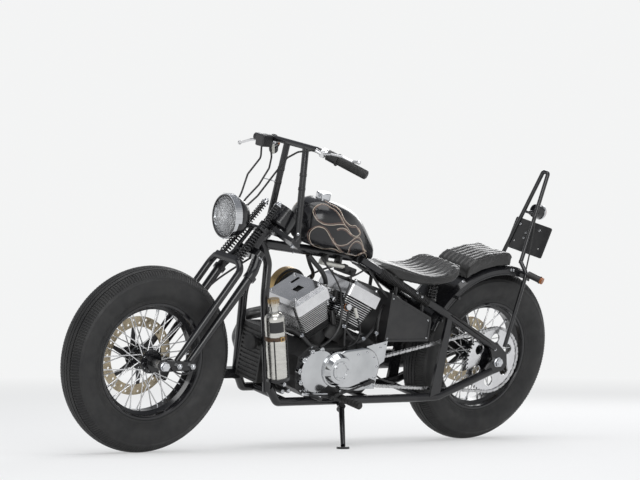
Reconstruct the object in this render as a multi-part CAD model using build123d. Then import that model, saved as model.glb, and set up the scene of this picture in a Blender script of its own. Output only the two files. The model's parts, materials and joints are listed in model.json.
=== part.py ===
from build123d import *
import os
from math import sin, cos, tan, radians, degrees, pi, atan2, sqrt

# A chopper motorcycle with a springer fork and a rigid rear, parked on its side stand.
# Millimetres. It is drawn upright: X forward, Y to the rider's left and Z up from the line
# of the axles, which is Z 0. At the end it is leaned over and set on the ground as it parks.

# Stance
front_axle_x = 800.0
fender_front_x = -434.0
parked_lean = 14.0
parked_steer = -6.0
rake = 38.0
fork_offset = 60.0

# Tyres and wheels
tyre_radius = 342.0
tyre_half_width = 68.0
tyre_height = 136.0
tyre_wall = 9.0
tyre_bead_half = 38.0
rim_wall = 3.5
rim_half_width = 47.0
rim_flange_height = 8.0
rim_well_depth = 16.0
rim_well_half = 15.0
rim_gap = 0.3
spoke_radius = 2.2
spoke_pairs = 10
spoke_splay = 38.0
spoke_side_step = 6.5
hub_radius = 30.0
hub_flange_radius = 44.0
hub_flange_thick = 5.0
hub_flange_y = 36.0
hub_hole_ring = 37.0
hub_hole_radius = 3.0
axle_radius = 10.0
running_gap = 0.05
seat_gap = 0.2
side_gap = 1.2

# Brakes, sprockets and chain
front_disc_radius = 145.0
rear_disc_radius = 130.0
disc_thick = 5.0
disc_y = 66.0
disc_band = 38.0
disc_arms = 6
disc_holes = 16
disc_hole_radius = 5.0
caliper_length = 84.0
caliper_height = 46.0
caliper_half = 17.0
pad_gap = 1.5
chain_pitch = 15.875
rear_teeth = 50
front_teeth = 16
front_sprocket_x = -110.0
front_sprocket_z = -45.0
chain_inset = 16.0
sprocket_thick = 7.0
sprocket_holes = 6
sprocket_hole_radius = 21.0
chain_width = 16.0
chain_height = 14.0
chain_slot = 8.6

# Frame tubes
neck_radius = 27.0
neck_bottom = 578.0
neck_top = 662.0
stem_radius = 14.0
backbone_radius = 19.0
backbone_s = 602.0
down_tube_s = 618.0
down_tube_radius = 16.0
rail_radius = 16.0
stay_radius = 15.0
seat_joint_x = -100.0
seat_joint_y = 42.0
seat_joint_z = 384.0
stay_bend_x = -500.0
stay_bend_y = 121.0
stay_slope = 0.48
down_top_x = 337.0
down_top_y = 34.0
down_top_z = 368.0
down_knee_x = 350.0
down_knee_y = 62.0
down_knee_z = 248.0
down_foot_x = 296.0
down_foot_y = 95.0
down_foot_z = -102.0
rail_front_x = 250.0
rail_y = 105.0
rail_z = -142.0
rail_rear_x = -430.0
axle_plate_y = 128.0
axle_plate_thick = 10.0
brace_x = -512.0
brace_width = 46.0
brace_thick = 12.0
cross_bar_radius = 12.0
cross_bar_places = (200.0, -200.0, -470.0)

# Springer fork
leg_y = 101.0
rear_leg_radius = 17.0
rear_leg_end_radius = 11.0
rear_leg_offset = -8.0
rear_leg_bend_s = 490.0
front_leg_radius = 13.0
front_leg_end_radius = 9.0
front_leg_offset = 40.0
collar_share = 0.918
collar_length = 18.0
collar_radius = 23.0
crown_s = 546.0
crown_thick = 26.0
crown_half = 62.0
crown_width = 42.0
rear_pivot_back = 116.0
front_pivot_back = 59.0
pivot_rise = 2.0
pivot_radius = 8.0
lug_radius = 16.0
rocker_y = 124.0
rocker_thick = 12.0
rocker_rear_radius = 15.0
rocker_mid_radius = 18.0
rocker_axle_radius = 21.0
nut_radius = 11.0
nut_height = 12.0
yoke_s = 462.0
yoke_plate_s = 478.0
yoke_plate_thick = 18.0
spring_low_y = 55.0
spring_top_y = 43.0
spring_offset = 48.0
spring_mid = 634.0
spring_mid_thick = 10.0
spring_top = 742.0
spring_rod_radius = 6.0
spring_low_radius = 17.5
spring_top_radius = 13.5
spring_low_wire = 2.8
spring_top_wire = 2.4
spring_low_turns = 11
spring_top_turns = 9
top_tree_s = 667.0
top_tree_thick = 15.0
top_tree_half = 116.0

# Handlebar and controls
bar_radius = 11.1
riser_radius = 12.5
riser_foot_e = -72.0
riser_foot_y = 100.0
bar_middle_x = 252.0
bar_z = 804.0
riser_top_y = 60.0
bar_bend_y = 150.0
grip_end = (143.0, 301.0, 742.0)
grip_length = 124.0
grip_radius = 16.5
grip_flange = 7.0
switch_length = 38.0
switch_radius = 20.0
lever_radius = 5.0
cable_radius = 3.5

# Lamp and gauge
lamp_x = 532.0
lamp_z = 530.0
lamp_radius = 80.0
lamp_depth = 92.0
lamp_rim = 34.0
lens_thick = 5.0
gauge_s = 694.0
gauge_e = -30.0
gauge_radius = 57.0
gauge_depth = 76.0

# Tank
tank_tunnel = 24.0
tank_corner = 0.44
cap_x = 96.0
cap_radius = 28.0
cap_low = 596.0
cap_high = 630.0

# Engine
crank_x = 0.0
crank_z = -12.0
front_tilt = 30.0
rear_tilt = 22.0
case_half = 112.0
barrel_radius = 55.0
barrel_start = 88.0
fin_count = 15
fin_pitch = 8.0
fin_thick = 2.8
fin_start = 142.0
fin_half_x = 76.0
fin_half_y = 84.0
fin_corner = 16.0
head_height = 60.0
head_bevel = 14.0
head_half_x = 84.0
head_half_y = 98.0
head_corner = 18.0
head_pocket_depth = 8.0
dome_x = 13.0
dome_radius = 62.0
dome_height = 22.0
drum_x = -105.0
drum_radius = 84.0
drum_depth = 36.0
front_case_x = 100.0
front_case_radius = 80.0
bolt_boss_radius = 11.0
cleaner_x = 45.0
cleaner_z = 218.0
cleaner_radius = 79.0

# Exhaust
pipe_radius = 21.0
muffler_radius = 38.0
short_muffler_radius = 34.0
pipe_y = -190.0
hanger_radius = 6.0

# Rear fender, seats and bars
fender_clear = 24.0
fender_sheet = 3.0
fender_half = 96.0
fender_lip = 16.0
fender_bead = 4.0
fender_from = 20.0
fender_to = 112.0
pad_half = 96.0
soft_gap = 0.3
sissy_radius = 8.0
plate_width = 205.0
plate_height = 125.0
plate_thick = 4.0
plate_hole_spacing = 140.0
plate_hole_rise = 30.0
plate_hole_radius = 3.5
tail_lamp_radius = 26.0
tail_lamp_depth = 44.0

# Foot controls
peg_x = -20.0
peg_z = -120.0
peg_end_y = 262.0
peg_radius = 14.0
hanger_y = 122.0
hanger_thick = 10.0
pedal_x = 118.0
pedal_z = -110.0
shift_shaft_x = -157.0
shift_shaft_z = -58.0

# Side stand
stand_pivot_x = -40.0
stand_pivot_y = 138.0
stand_pivot_z = -158.0
stand_foot_x = 55.0
stand_foot_y = 292.0
stand_radius = 11.0
stand_eye_radius = 14.0
stand_eye_half = 7.0
stand_pin_radius = 6.0
sole_radius = 24.0

fender_radius = tyre_radius + fender_clear
rear_axle_x = fender_front_x - fender_radius
wheelbase = front_axle_x - rear_axle_x
bead_radius = tyre_radius - tyre_height
chain_y = case_half - chain_inset
rake_rad = radians(rake)
along = Vector(-sin(rake_rad), 0, cos(rake_rad))
ahead = Vector(cos(rake_rad), 0, sin(rake_rad))
across = Vector(0, 1, 0)
front_axle = Vector(front_axle_x, 0, 0)
rear_axle = Vector(rear_axle_x, 0, 0)
steer_foot = front_axle - ahead * fork_offset
parts = {}


# Shapes that many pieces share
def at_fork(s, e, y):
    return steer_foot + along * s + ahead * e + across * y


def rod(start, end, radius):
    start, end = Vector(start), Vector(end)
    span = end - start
    return Solid.make_cylinder(radius, span.length, Plane(origin=start, z_dir=span))


def taper(start, end, start_radius, end_radius):
    span = end - start
    return Solid.make_cone(start_radius, end_radius, span.length, Plane(origin=start, z_dir=span))


def pipe(points, radius, bends):
    route = FilletPolyline(*[Vector(p) for p in points], radius=bends)
    mouth = Plane(origin=route @ 0, z_dir=route % 0)
    return sweep(mouth * Circle(radius), path=route)


def disc(centre, radius, one_y, other_y):
    return rod((centre.X, one_y, centre.Z), (centre.X, other_y, centre.Z), radius)


def block(x, y, z):
    size = [x[1] - x[0], y[1] - y[0], z[1] - z[0]]
    middle = [(x[0] + x[1]) / 2, (y[0] + y[1]) / 2, (z[0] + z[1]) / 2]
    return Pos(*middle) * Box(*size)


def side_plane(high_y):
    return Plane(origin=(0, high_y, 0), x_dir=(1, 0, 0), z_dir=(0, -1, 0))


def side_sheet(points, low_y, high_y):
    face = make_face(Polyline(*points, close=True))
    return extrude(side_plane(high_y) * face, amount=high_y - low_y)


def side_hull(circles, low_y, high_y):
    rounds = [(Pos(x, z) * Circle(radius)).edge() for x, z, radius in circles]
    return extrude(side_plane(high_y) * make_hull(rounds), amount=high_y - low_y)


def around(radius, share, centre):
    angle = 2 * pi * share
    return centre + Vector(radius * cos(angle), 0, radius * sin(angle))


def mirrored(point):
    return Vector(point.X, -point.Y, point.Z)


def keep_main(shape):
    return shape.solids().sort_by(SortBy.VOLUME)[-1]


def less(shape, others):
    for other in others:
        shape -= other
    return keep_main(shape)


def coil(start, end, outer, wire, turns):
    span = end - start
    path = Helix(pitch=(span.length - 2 * wire) / turns, height=span.length - 2 * wire, radius=outer - wire)
    turned = sweep(Plane(origin=path @ 0, z_dir=path % 0) * Circle(wire), path=path, is_frenet=True)
    base = Plane(origin=start + span.normalized() * wire, z_dir=span)
    return keep_main(base * turned)


def hex_nut(centre, radius, one_y, other_y):
    low_y, high_y = sorted((one_y, other_y))
    shape = Pos(centre.X, centre.Z) * RegularPolygon(radius, 6)
    return extrude(side_plane(high_y) * shape, amount=high_y - low_y)


def wheel_plane(centre):
    return Plane(origin=centre, x_dir=(0, 1, 0), z_dir=(1, 0, 0))


def spun(points, centre):
    face = make_face(Polyline(*points, close=True))
    return revolve(wheel_plane(centre) * face, Axis(centre, across))


# Wheels
def tyre(centre):
    middle = tyre_radius - tyre_half_width
    inner_half = tyre_half_width - tyre_wall
    bead_inner = tyre_bead_half - tyre_wall
    outer_from = middle - sqrt(tyre_half_width**2 - tyre_bead_half**2)
    inner_from = middle - sqrt(inner_half**2 - bead_inner**2)
    with BuildSketch() as section:
        with BuildLine():
            ThreePointArc((-tyre_bead_half, outer_from), (0, tyre_radius), (tyre_bead_half, outer_from))
            Line((tyre_bead_half, outer_from), (tyre_bead_half, bead_radius))
            Line((tyre_bead_half, bead_radius), (bead_inner, bead_radius))
            Line((bead_inner, bead_radius), (bead_inner, inner_from))
            ThreePointArc((bead_inner, inner_from), (0, tyre_radius - tyre_wall), (-bead_inner, inner_from))
            Line((-bead_inner, inner_from), (-bead_inner, bead_radius))
            Line((-bead_inner, bead_radius), (-tyre_bead_half, bead_radius))
            Line((-tyre_bead_half, bead_radius), (-tyre_bead_half, outer_from))
        make_face()
    return revolve(wheel_plane(centre) * section.sketch, Axis(centre, across))


def rim(centre):
    seat = bead_radius - rim_gap
    well = bead_radius - rim_well_depth
    flange = bead_radius + rim_flange_height
    half = [
        (rim_half_width, flange),
        (tyre_bead_half + rim_gap, flange),
        (tyre_bead_half + rim_gap, seat),
        (rim_well_half + 8, seat - 3),
        (rim_well_half, well),
    ]
    inner = [
        (rim_well_half + 3, well - rim_wall),
        (rim_well_half + 12, seat - 3 - rim_wall),
        (rim_half_width - 4, seat - rim_wall),
        (rim_half_width, seat),
    ]
    outer = half + [(-y, r) for y, r in reversed(half)]
    under = [(-y, r) for y, r in reversed(inner)] + inner
    return spun(outer + under, centre)


def spokes(centre):
    wires = []
    step = 1 / (2 * spoke_pairs)
    for side in (1, -1):
        for number in range(2 * spoke_pairs):
            splay = 1 if number % 2 else -1
            hub_share = step * (number + 0.25 * side)
            rim_share = hub_share + splay * spoke_splay / 360
            hub_y = side * (hub_flange_y + splay * spoke_side_step / 2)
            rim_y = side * (6 + splay * spoke_side_step / 2)
            start = around(hub_flange_radius - 6, hub_share, centre) + across * hub_y
            end = around(bead_radius - rim_well_depth - 1, rim_share, centre) + across * rim_y
            wires.append(rod(start, end, spoke_radius))
    return wires


def wire_wheel(centre, half_length):
    hub = disc(centre, hub_radius, -half_length, half_length)
    half = (hub_flange_thick + spoke_side_step) / 2
    for side in (-1, 1):
        face_y = side * hub_flange_y
        hub += disc(centre, hub_flange_radius, face_y - half, face_y + half)
        for number in range(spoke_pairs):
            spot = around(hub_hole_ring, (number + 0.5) / spoke_pairs, centre)
            hub -= disc(spot, hub_hole_radius, face_y - half - 1, face_y + half + 1)
    wheel = rim(centre) + hub
    wheel = wheel.fuse(*spokes(centre))
    return wheel - disc(centre, axle_radius + running_gap, -half_length - 1, half_length + 1)


def brake_disc(centre, radius, y):
    low, high = y - disc_thick / 2, y + disc_thick / 2
    band = disc(centre, radius, low, high) - disc(centre, radius - disc_band, low - 1, high + 1)
    for number in range(2 * disc_holes):
        ring = radius - disc_band * (0.3 if number % 2 else 0.65)
        spot = around(ring, number / (2 * disc_holes), centre)
        band -= disc(spot, disc_hole_radius, low - 1, high + 1)
    carrier = disc(centre, hub_flange_radius, low, high)
    for number in range(disc_arms):
        foot = around(hub_flange_radius - 10, number / disc_arms, centre)
        tip = around(radius - disc_band + 3, (number + 0.3) / disc_arms, centre)
        carrier += side_hull([(foot.X, foot.Z, 11), (tip.X, tip.Z, 6)], low, high)
    return band + carrier - disc(centre, axle_radius + running_gap, low - 1, high + 1)


def caliper(centre, radius, share):
    middle = around(radius - caliper_height / 2 + 8, share, centre)
    turn = Rot(0, -360 * share + 90, 0)
    body = Box(caliper_length, 2 * caliper_half, caliper_height)
    body = fillet(body.edges().filter_by(Axis.Y), 9)
    piece = Pos(middle.X, pad_gap - disc_y, middle.Z) * turn * body
    half = disc_thick / 2 + pad_gap
    return piece - disc(centre, radius + 3, -disc_y - half, -disc_y + half)


hub_half = disc_y - disc_thick / 2
parts["front_tyre"] = [tyre(front_axle)]
parts["front_wheel"] = [wire_wheel(front_axle, hub_half)]
parts["front_brake_disc"] = [brake_disc(front_axle, front_disc_radius, -disc_y)]
parts["rear_tyre"] = [tyre(rear_axle)]
parts["rear_wheel"] = [wire_wheel(rear_axle, hub_half)]
parts["rear_brake_disc"] = [brake_disc(rear_axle, rear_disc_radius, -disc_y)]

# Chain drive
rear_pitch_radius = chain_pitch / 2 / sin(pi / rear_teeth)
front_pitch_radius = chain_pitch / 2 / sin(pi / front_teeth)
front_sprocket = Vector(front_sprocket_x, 0, front_sprocket_z)


def sprocket(centre, pitch_radius, teeth, low_y, high_y):
    tip, root = pitch_radius + 3.5, pitch_radius - 5.0
    points = []
    for number in range(teeth):
        for share, radius in ((0.0, root), (0.3, root), (0.5, tip), (0.8, tip)):
            spot = around(radius, (number + share) / teeth, centre)
            points.append((spot.X, spot.Z))
    return side_sheet(points, low_y, high_y)


def rear_sprocket():
    low, high = chain_y - sprocket_thick / 2, chain_y + sprocket_thick / 2
    wheel = sprocket(rear_axle, rear_pitch_radius, rear_teeth, low, high)
    for number in range(sprocket_holes):
        spot = around(rear_pitch_radius * 0.66, (number + 0.5) / sprocket_holes, rear_axle)
        wheel -= disc(spot, sprocket_hole_radius, low - 1, high + 1)
    wheel += disc(rear_axle, hub_flange_radius, hub_half, low)
    return wheel - disc(rear_axle, axle_radius + running_gap, hub_half - 1, high + 1)


def loop_points(grow):
    gap_x = front_sprocket.X - rear_axle.X
    gap_z = front_sprocket.Z - rear_axle.Z
    big, small = rear_pitch_radius + grow, front_pitch_radius + grow
    tilt = atan2(gap_z, gap_x)
    open_angle = atan2(sqrt(gap_x**2 + gap_z**2 - (big - small) ** 2), big - small)
    runs = []
    for sign in (1, -1):
        share = (tilt + sign * open_angle) / (2 * pi)
        ends = [around(big, share, rear_axle), around(small, share, front_sprocket)]
        runs.append([(end.X, end.Z) for end in ends])
    rear_side = around(-big, tilt / (2 * pi), rear_axle)
    front_side = around(small, tilt / (2 * pi), front_sprocket)
    return runs, (rear_side.X, rear_side.Z), (front_side.X, front_side.Z)


def chain_outline(grow):
    (top, bottom), rear_side, front_side = loop_points(grow)
    with BuildSketch() as outline:
        with BuildLine():
            Line(top[0], top[1])
            ThreePointArc(top[1], front_side, bottom[1])
            Line(bottom[1], bottom[0])
            ThreePointArc(bottom[0], rear_side, top[0])
        make_face()
    return outline.sketch


def chain():
    plane = side_plane(chain_y + chain_width / 2)
    outer = extrude(plane * chain_outline(chain_height / 2), amount=chain_width)
    inner = extrude(plane * chain_outline(-chain_height / 2), amount=chain_width)
    wrap = disc(rear_axle, rear_pitch_radius + 20, chain_y - chain_slot / 2, chain_y + chain_slot / 2)
    return outer - inner - wrap


parts["rear_sprocket"] = [rear_sprocket()]
parts["drive_chain"] = [chain()]

# Frame
neck_low, neck_high = at_fork(neck_bottom, 0, 0), at_fork(neck_top, 0, 0)
spine_start = at_fork(backbone_s, 0, 0)
spine_end = Vector(seat_joint_x, 0, seat_joint_z)


def stay_line(side, radius):
    start = spine_end + across * (side * seat_joint_y)
    end_z = seat_joint_z - stay_slope * (seat_joint_x - stay_bend_x)
    return rod(start, Vector(stay_bend_x, side * stay_bend_y, end_z), radius)


def frame_neck():
    neck = rod(neck_low, neck_high, neck_radius)
    for s in (neck_bottom, neck_top - 10):
        neck += rod(at_fork(s, 0, 0), at_fork(s + 10, 0, 0), neck_radius + 3)
    neck += rod(spine_start, spine_end, backbone_radius)
    gusset = [at_fork(586, -24, 0), at_fork(620, -50, 0), Vector(250, 0, 438), Vector(330, 0, 403)]
    neck += side_sheet([(p.X, p.Z) for p in gusset], -5, 5)
    for side in (-1, 1):
        neck += rod(spine_end, spine_end + across * (side * seat_joint_y), backbone_radius)
    return neck - rod(at_fork(neck_bottom - 5, 0, 0), at_fork(neck_top + 5, 0, 0), stem_radius + running_gap)


def down_tubes(neck):
    tubes = []
    for side in (-1, 1):
        route = [
            at_fork(down_tube_s, -10, side * 12),
            (down_top_x, side * down_top_y, down_top_z),
            (down_knee_x, side * down_knee_y, down_knee_z),
            (down_foot_x, side * down_foot_y, down_foot_z),
        ]
        tubes.append(keep_main(pipe(route, down_tube_radius, (60, 200)) - neck))
    return tubes


def lower_rails(tubes):
    rails = []
    for side, tube in zip((-1, 1), tubes):
        route = [
            (down_foot_x - 8, side * down_foot_y, down_foot_z + 12),
            (rail_front_x, side * rail_y, rail_z),
            (rail_rear_x, side * rail_y, rail_z),
            (rail_rear_x - 95, side * (axle_plate_y - 5), rail_z + 8),
            (rear_axle_x + 24, side * axle_plate_y, -36),
        ]
        rails.append(keep_main(pipe(route, rail_radius, (20, 40, 60)) - tube))
    return rails


def upper_stays(neck):
    stays = []
    for side in (-1, 1):
        start = spine_end + across * (side * seat_joint_y)
        bend_z = seat_joint_z - stay_slope * (seat_joint_x - stay_bend_x)
        end = Vector(rear_axle_x + 25, side * axle_plate_y, 60)
        route = [start, (stay_bend_x, side * stay_bend_y, bend_z), end]
        stays.append(keep_main(pipe(route, stay_radius, 300) - neck))
    return stays


def axle_plates(others):
    outline = [(-52, -12), (-40, 34), (18, 78), (48, 58), (30, 10), (54, -30), (20, -50), (-34, -34)]
    half = axle_plate_thick / 2
    plates = []
    for side in (-1, 1):
        middle = side * axle_plate_y
        plate = side_sheet([(rear_axle_x + x, z) for x, z in outline], middle - half, middle + half)
        plate -= disc(rear_axle, axle_radius + 0.3, middle - 20, middle + 20)
        plates.append(less(plate, others))
    return plates


def braces(others):
    half = brace_width / 2
    outline = [
        (brace_x - half + 6, 178),
        (brace_x + half - 16, 178),
        (brace_x + half + 8, rail_z + 8),
        (brace_x - half + 4, rail_z + 8),
    ]
    posts = []
    for side in (-1, 1):
        middle = side * (axle_plate_y - 2)
        post = side_sheet(outline, middle - brace_thick / 2, middle + brace_thick / 2)
        posts.append(less(post, others))
    return posts


def front_bracket(others):
    arm = block((290, 384), (-112, -76), (-100, -64)) - block((310, 386), (-108, -80), (-96, -68))
    return less(arm + rod((330, -112, -82), (330, -118, -82), 9), others)


def cross_bars(rails):
    bars = []
    for place in cross_bar_places:
        bar = rod((place, -rail_y, rail_z), (place, rail_y, rail_z), cross_bar_radius)
        bars.append(less(bar, rails))
    return bars


neck = frame_neck()
parts["frame_neck"] = [neck]
tubes = down_tubes(neck)
parts["frame_down_tubes"] = tubes
rails = lower_rails(tubes)
parts["frame_lower_rails"] = rails
stays = upper_stays(neck)
parts["frame_upper_stays"] = stays
parts["frame_axle_plates"] = axle_plates(stays + rails)
parts["frame_braces"] = braces(stays + rails) + [front_bracket([tubes[0], rails[0]])]
parts["frame_cross_bars"] = cross_bars(rails)


def rear_axle_bar():
    outer = axle_plate_y + axle_plate_thick / 2
    inner = axle_plate_y - axle_plate_thick / 2 - seat_gap
    bar = disc(rear_axle, axle_radius, -outer - 18, outer + 18)
    starts = {-1: disc_y + disc_thick / 2 + side_gap, 1: chain_y + sprocket_thick / 2 + side_gap}
    for side, start in starts.items():
        bar += disc(rear_axle, 19.0, side * (outer + seat_gap), side * (outer + 3))
        bar += hex_nut(rear_axle, 17.0, side * (outer + 2), side * (outer + 14))
        bar += disc(rear_axle, 15.0, side * start, side * inner)
    return bar


axle_bar = rear_axle_bar()
parts["rear_axle"] = [axle_bar]


def rear_caliper(others):
    share = 1 / 6
    piece = caliper(rear_axle, rear_disc_radius, share)
    spot = around(rear_disc_radius - 30, share, rear_axle)
    arm_y = pad_gap - disc_y - caliper_half
    piece += side_hull([(rear_axle_x, 0, 26), (spot.X, spot.Z, 20)], arm_y - 8, arm_y + 1)
    end = Vector(stay_bend_x - 150, -stay_bend_y, 124)
    piece += rod(Vector(spot.X, arm_y - 4, spot.Z + 12), end, 5)
    return less(piece - disc(rear_axle, 15.0 + seat_gap, arm_y - 9, arm_y + 2), others)


parts["rear_caliper"] = [rear_caliper(stays)]


# Springer fork
def fork_plane(s):
    return Plane(origin=at_fork(s, 0, 0), x_dir=ahead, z_dir=along)


def fork_plate(points, s, thick, corner=4):
    face = make_face(Polyline(*points, close=True))
    return extrude(fork_plane(s) * fillet(face.vertices(), corner), amount=thick)


rear_pivot = front_axle + Vector(-rear_pivot_back, 0, pivot_rise)
front_pivot = front_axle + Vector(-front_pivot_back, 0, pivot_rise)
rocker_in = rocker_y - rocker_thick / 2
rocker_out = rocker_y + rocker_thick / 2


def pivot_lug(centre, side):
    inner = leg_y - 12
    lug = disc(centre, lug_radius, side * inner, side * (rocker_in - seat_gap))
    lug += disc(centre, pivot_radius, side * inner, side * (rocker_out + 4))
    lug += hex_nut(centre, nut_radius, side * (rocker_out + seat_gap), side * (rocker_out + nut_height))
    return lug + Pos(centre.X, side * (rocker_out + nut_height), centre.Z) * Sphere(nut_radius - 2.5)


def spring_point(s, side):
    share = (s - spring_plate_top) / (spring_top - spring_plate_top)
    return at_fork(s, spring_offset, side * (spring_low_y + (spring_top_y - spring_low_y) * share))


spring_plate_top = yoke_plate_s + yoke_plate_thick
mid_low = spring_mid - spring_mid_thick / 2
mid_high = spring_mid + spring_mid_thick / 2


def rear_fork():
    slot = Pos(-4, 0) * SlotOverall(2 * crown_half + crown_width, crown_width, rotation=90)
    crown = extrude(fork_plane(crown_s) * slot, crown_thick)
    crown += rod(at_fork(crown_s, 0, 0), at_fork(top_tree_s + top_tree_thick + 6, 0, 0), stem_radius)
    for side in (-1, 1):
        foot = rear_pivot + across * (side * leg_y)
        bend = at_fork(rear_leg_bend_s, rear_leg_offset, side * leg_y)
        collar = foot + (bend - foot) * collar_share
        route = [collar, bend, at_fork(crown_s + 14, rear_leg_offset, side * crown_half)]
        crown += pipe(route, rear_leg_radius, 50)
        crown += taper(foot, collar, rear_leg_end_radius, rear_leg_radius)
        crown += rod(collar, collar + along * collar_length, collar_radius)
        crown += pivot_lug(rear_pivot, side)
        foot_plate = [(8, side * 12), (8, side * 30), (42, side * 30), (42, side * 12)]
        crown += fork_plate(foot_plate, crown_s + 4, crown_thick - 8)
        strap = [(34, side * 12), (34, side * 30), (42, side * 30), (42, side * 12)]
        crown += fork_plate(strap, crown_s + 8, spring_mid - crown_s - 4, 2)
    crown += fork_plate([(33, -68), (66, -68), (66, 68), (33, 68)], mid_low, spring_mid_thick, 8)
    for side in (-1, 1):
        crown -= rod(spring_point(mid_low - 9, side), spring_point(mid_high + 9, side), spring_rod_radius + 1)
    return keep_main(crown)


def front_fork():
    knees = [
        at_fork(yoke_s, front_leg_offset, leg_y),
        at_fork(yoke_s + 20, front_leg_offset + 14, leg_y - 29),
    ]
    low = front_pivot + across * leg_y
    share = 0.35
    start = low + (knees[0] - low) * share
    route = [start] + knees + [mirrored(p) for p in reversed(knees)] + [mirrored(start)]
    legs = pipe(route, front_leg_radius, (40, 24, 24, 40))
    plate = [(32, -76), (66, -76), (66, 76), (32, 76)]
    legs += fork_plate(plate, yoke_plate_s, yoke_plate_thick, 8)
    for side in (-1, 1):
        foot = front_pivot + across * (side * leg_y)
        begin = start if side > 0 else mirrored(start)
        tip = foot - (begin - foot).normalized() * 4
        legs += taper(tip, begin, front_leg_end_radius, front_leg_radius)
        legs += pivot_lug(front_pivot, side)
        top = spring_point(spring_top, side)
        way = (top - spring_point(spring_plate_top, side)).normalized()
        legs += rod(spring_point(yoke_plate_s + 4, side), top + way * 12, spring_rod_radius)
        legs += rod(top, top + way * 5, spring_top_radius + 1)
        legs += rod(top + way * 4, top + way * 14, 9)
        legs += Pos(*(top + way * 14)) * Sphere(7.5)
    return keep_main(legs)


def rockers():
    sides = []
    circles = [
        (rear_pivot.X, rear_pivot.Z, rocker_rear_radius),
        (front_pivot.X, front_pivot.Z, rocker_mid_radius),
        (front_axle.X, front_axle.Z, rocker_axle_radius),
    ]
    bores = [(rear_pivot, pivot_radius), (front_pivot, pivot_radius), (front_axle, axle_radius)]
    for side in (-1, 1):
        low, high = sorted((side * rocker_in, side * rocker_out))
        arm = side_hull(circles, low, high)
        for centre, radius in bores:
            arm -= disc(centre, radius + 0.3, low - 5, high + 5)
        sides.append(keep_main(arm))
    return sides


def front_axle_bar():
    bar = disc(front_axle, axle_radius, -rocker_out - 16, rocker_out + 16)
    starts = {-1: disc_y + disc_thick / 2 + side_gap, 1: hub_half + side_gap}
    for side, start in starts.items():
        bar += disc(front_axle, 17.0, side * (rocker_out + seat_gap), side * (rocker_out + 3))
        bar += hex_nut(front_axle, 16.0, side * (rocker_out + 2), side * (rocker_out + 15))
        bar += disc(front_axle, 15.0, side * start, side * (rocker_in - seat_gap))
    return bar


def springs():
    coils = []
    for side in (-1, 1):
        low, below = spring_point(spring_plate_top, side), spring_point(mid_low, side)
        above, top = spring_point(mid_high, side), spring_point(spring_top, side)
        way = (top - low).normalized()
        nudge = way * 1.6
        coils.append(coil(low + nudge, below - nudge, spring_low_radius, spring_low_wire, spring_low_turns))
        start, end = above + nudge, top - way * 0.3
        coils.append(coil(start, end, spring_top_radius, spring_top_wire, spring_top_turns))
    return coils


def top_tree():
    half = top_tree_half
    outline = [(26, 20), (-48, half), (-92, half), (-92, 84), (-40, 34)]
    outline += [(e, -y) for e, y in reversed(outline)]
    plate = fork_plate(outline, top_tree_s, top_tree_thick, 10)
    return plate - rod(at_fork(top_tree_s - 5, 0, 0), at_fork(top_tree_s + 30, 0, 0), stem_radius + seat_gap)


fork_frame = rear_fork()
parts["fork_rear_legs"] = [fork_frame]
parts["fork_front_legs"] = [front_fork()]
parts["fork_rockers"] = rockers()
parts["front_axle"] = [front_axle_bar()]
parts["fork_springs"] = springs()
parts["fork_top_tree"] = [top_tree()]


def front_caliper(others):
    piece = caliper(front_axle, front_disc_radius, 0.555)
    start = Vector(front_pivot.X - 30, -disc_y - 12, -34)
    end = Vector(front_pivot.X - 29, -rocker_in + seat_gap, -8)
    return less(piece + rod(start, end, 7), others)


parts["front_caliper"] = [front_caliper(parts["fork_rockers"] + [fork_frame])]

# Handlebar, grips and controls
bar_bend = Vector(bar_middle_x, bar_bend_y, bar_z)
grip_tip = Vector(*grip_end)
grip_way = (grip_tip - bar_bend).normalized()
grip_root = grip_tip - grip_way * grip_length
grip_ahead = Vector(grip_way.Y, -grip_way.X, 0).normalized()
grip_up = grip_ahead.cross(grip_way) * -1


def at_grip(out, forward, up):
    return grip_root + grip_way * out + grip_ahead * forward + grip_up * up


def handlebar():
    inner_end = grip_tip - grip_way * 4
    bar = pipe([inner_end, bar_bend, mirrored(bar_bend), mirrored(inner_end)], bar_radius, 45)
    for side in (-1, 1):
        foot = at_fork(top_tree_s + top_tree_thick, riser_foot_e, side * riser_foot_y)
        head = Vector(bar_middle_x, side * riser_top_y, bar_z)
        bar += rod(foot + along * 10, head, riser_radius)
        bar += rod(foot, foot + along * 18, 17)
    return bar


def grips(bar):
    pair = []
    for place in (Vector, mirrored):
        root, tip = place(grip_root), place(grip_tip)
        way = (tip - root).normalized()
        grip = rod(root, tip, grip_radius) + rod(root, root + way * 6, grip_radius + grip_flange)
        pair.append(less(grip, [bar]))
    return pair


def lever(points, place):
    shape = Pos(*place(points[-1])) * Sphere(lever_radius + 3)
    for start, end in zip(points, points[1:]):
        shape += rod(place(start), place(end), lever_radius)
        shape += Pos(*place(start)) * Sphere(lever_radius)
    return shape


def perch(place):
    clamp = rod(place(at_grip(-64, 0, 0)), place(at_grip(-46, 0, 0)), bar_radius + 6)
    clamp += rod(place(at_grip(-55, 0, 0)), place(at_grip(-48, 36, 0)), 8)
    return clamp + rod(place(at_grip(-48, 36, -11)), place(at_grip(-48, 36, 11)), 9)


def switch_box(place):
    return rod(place(at_grip(-1, 0, 0)), place(at_grip(-1 - switch_length, 0, 0)), switch_radius)


def clutch_control(bar):
    body = switch_box(Vector) + perch(Vector)
    body += rod(at_grip(-46, 0, 0), at_grip(-38, 0, 0), bar_radius + 3)
    body += rod(at_grip(-50, 37, 0), at_grip(-76, 46, -4), 7)
    way = [(-48, 36, 0), (-10, 60, -20), (36, 70, -34), (74, 64, -34), (100, 78, -46)]
    blade = [at_grip(*spot) for spot in way]
    return less(body + lever(blade, Vector), [bar])


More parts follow.
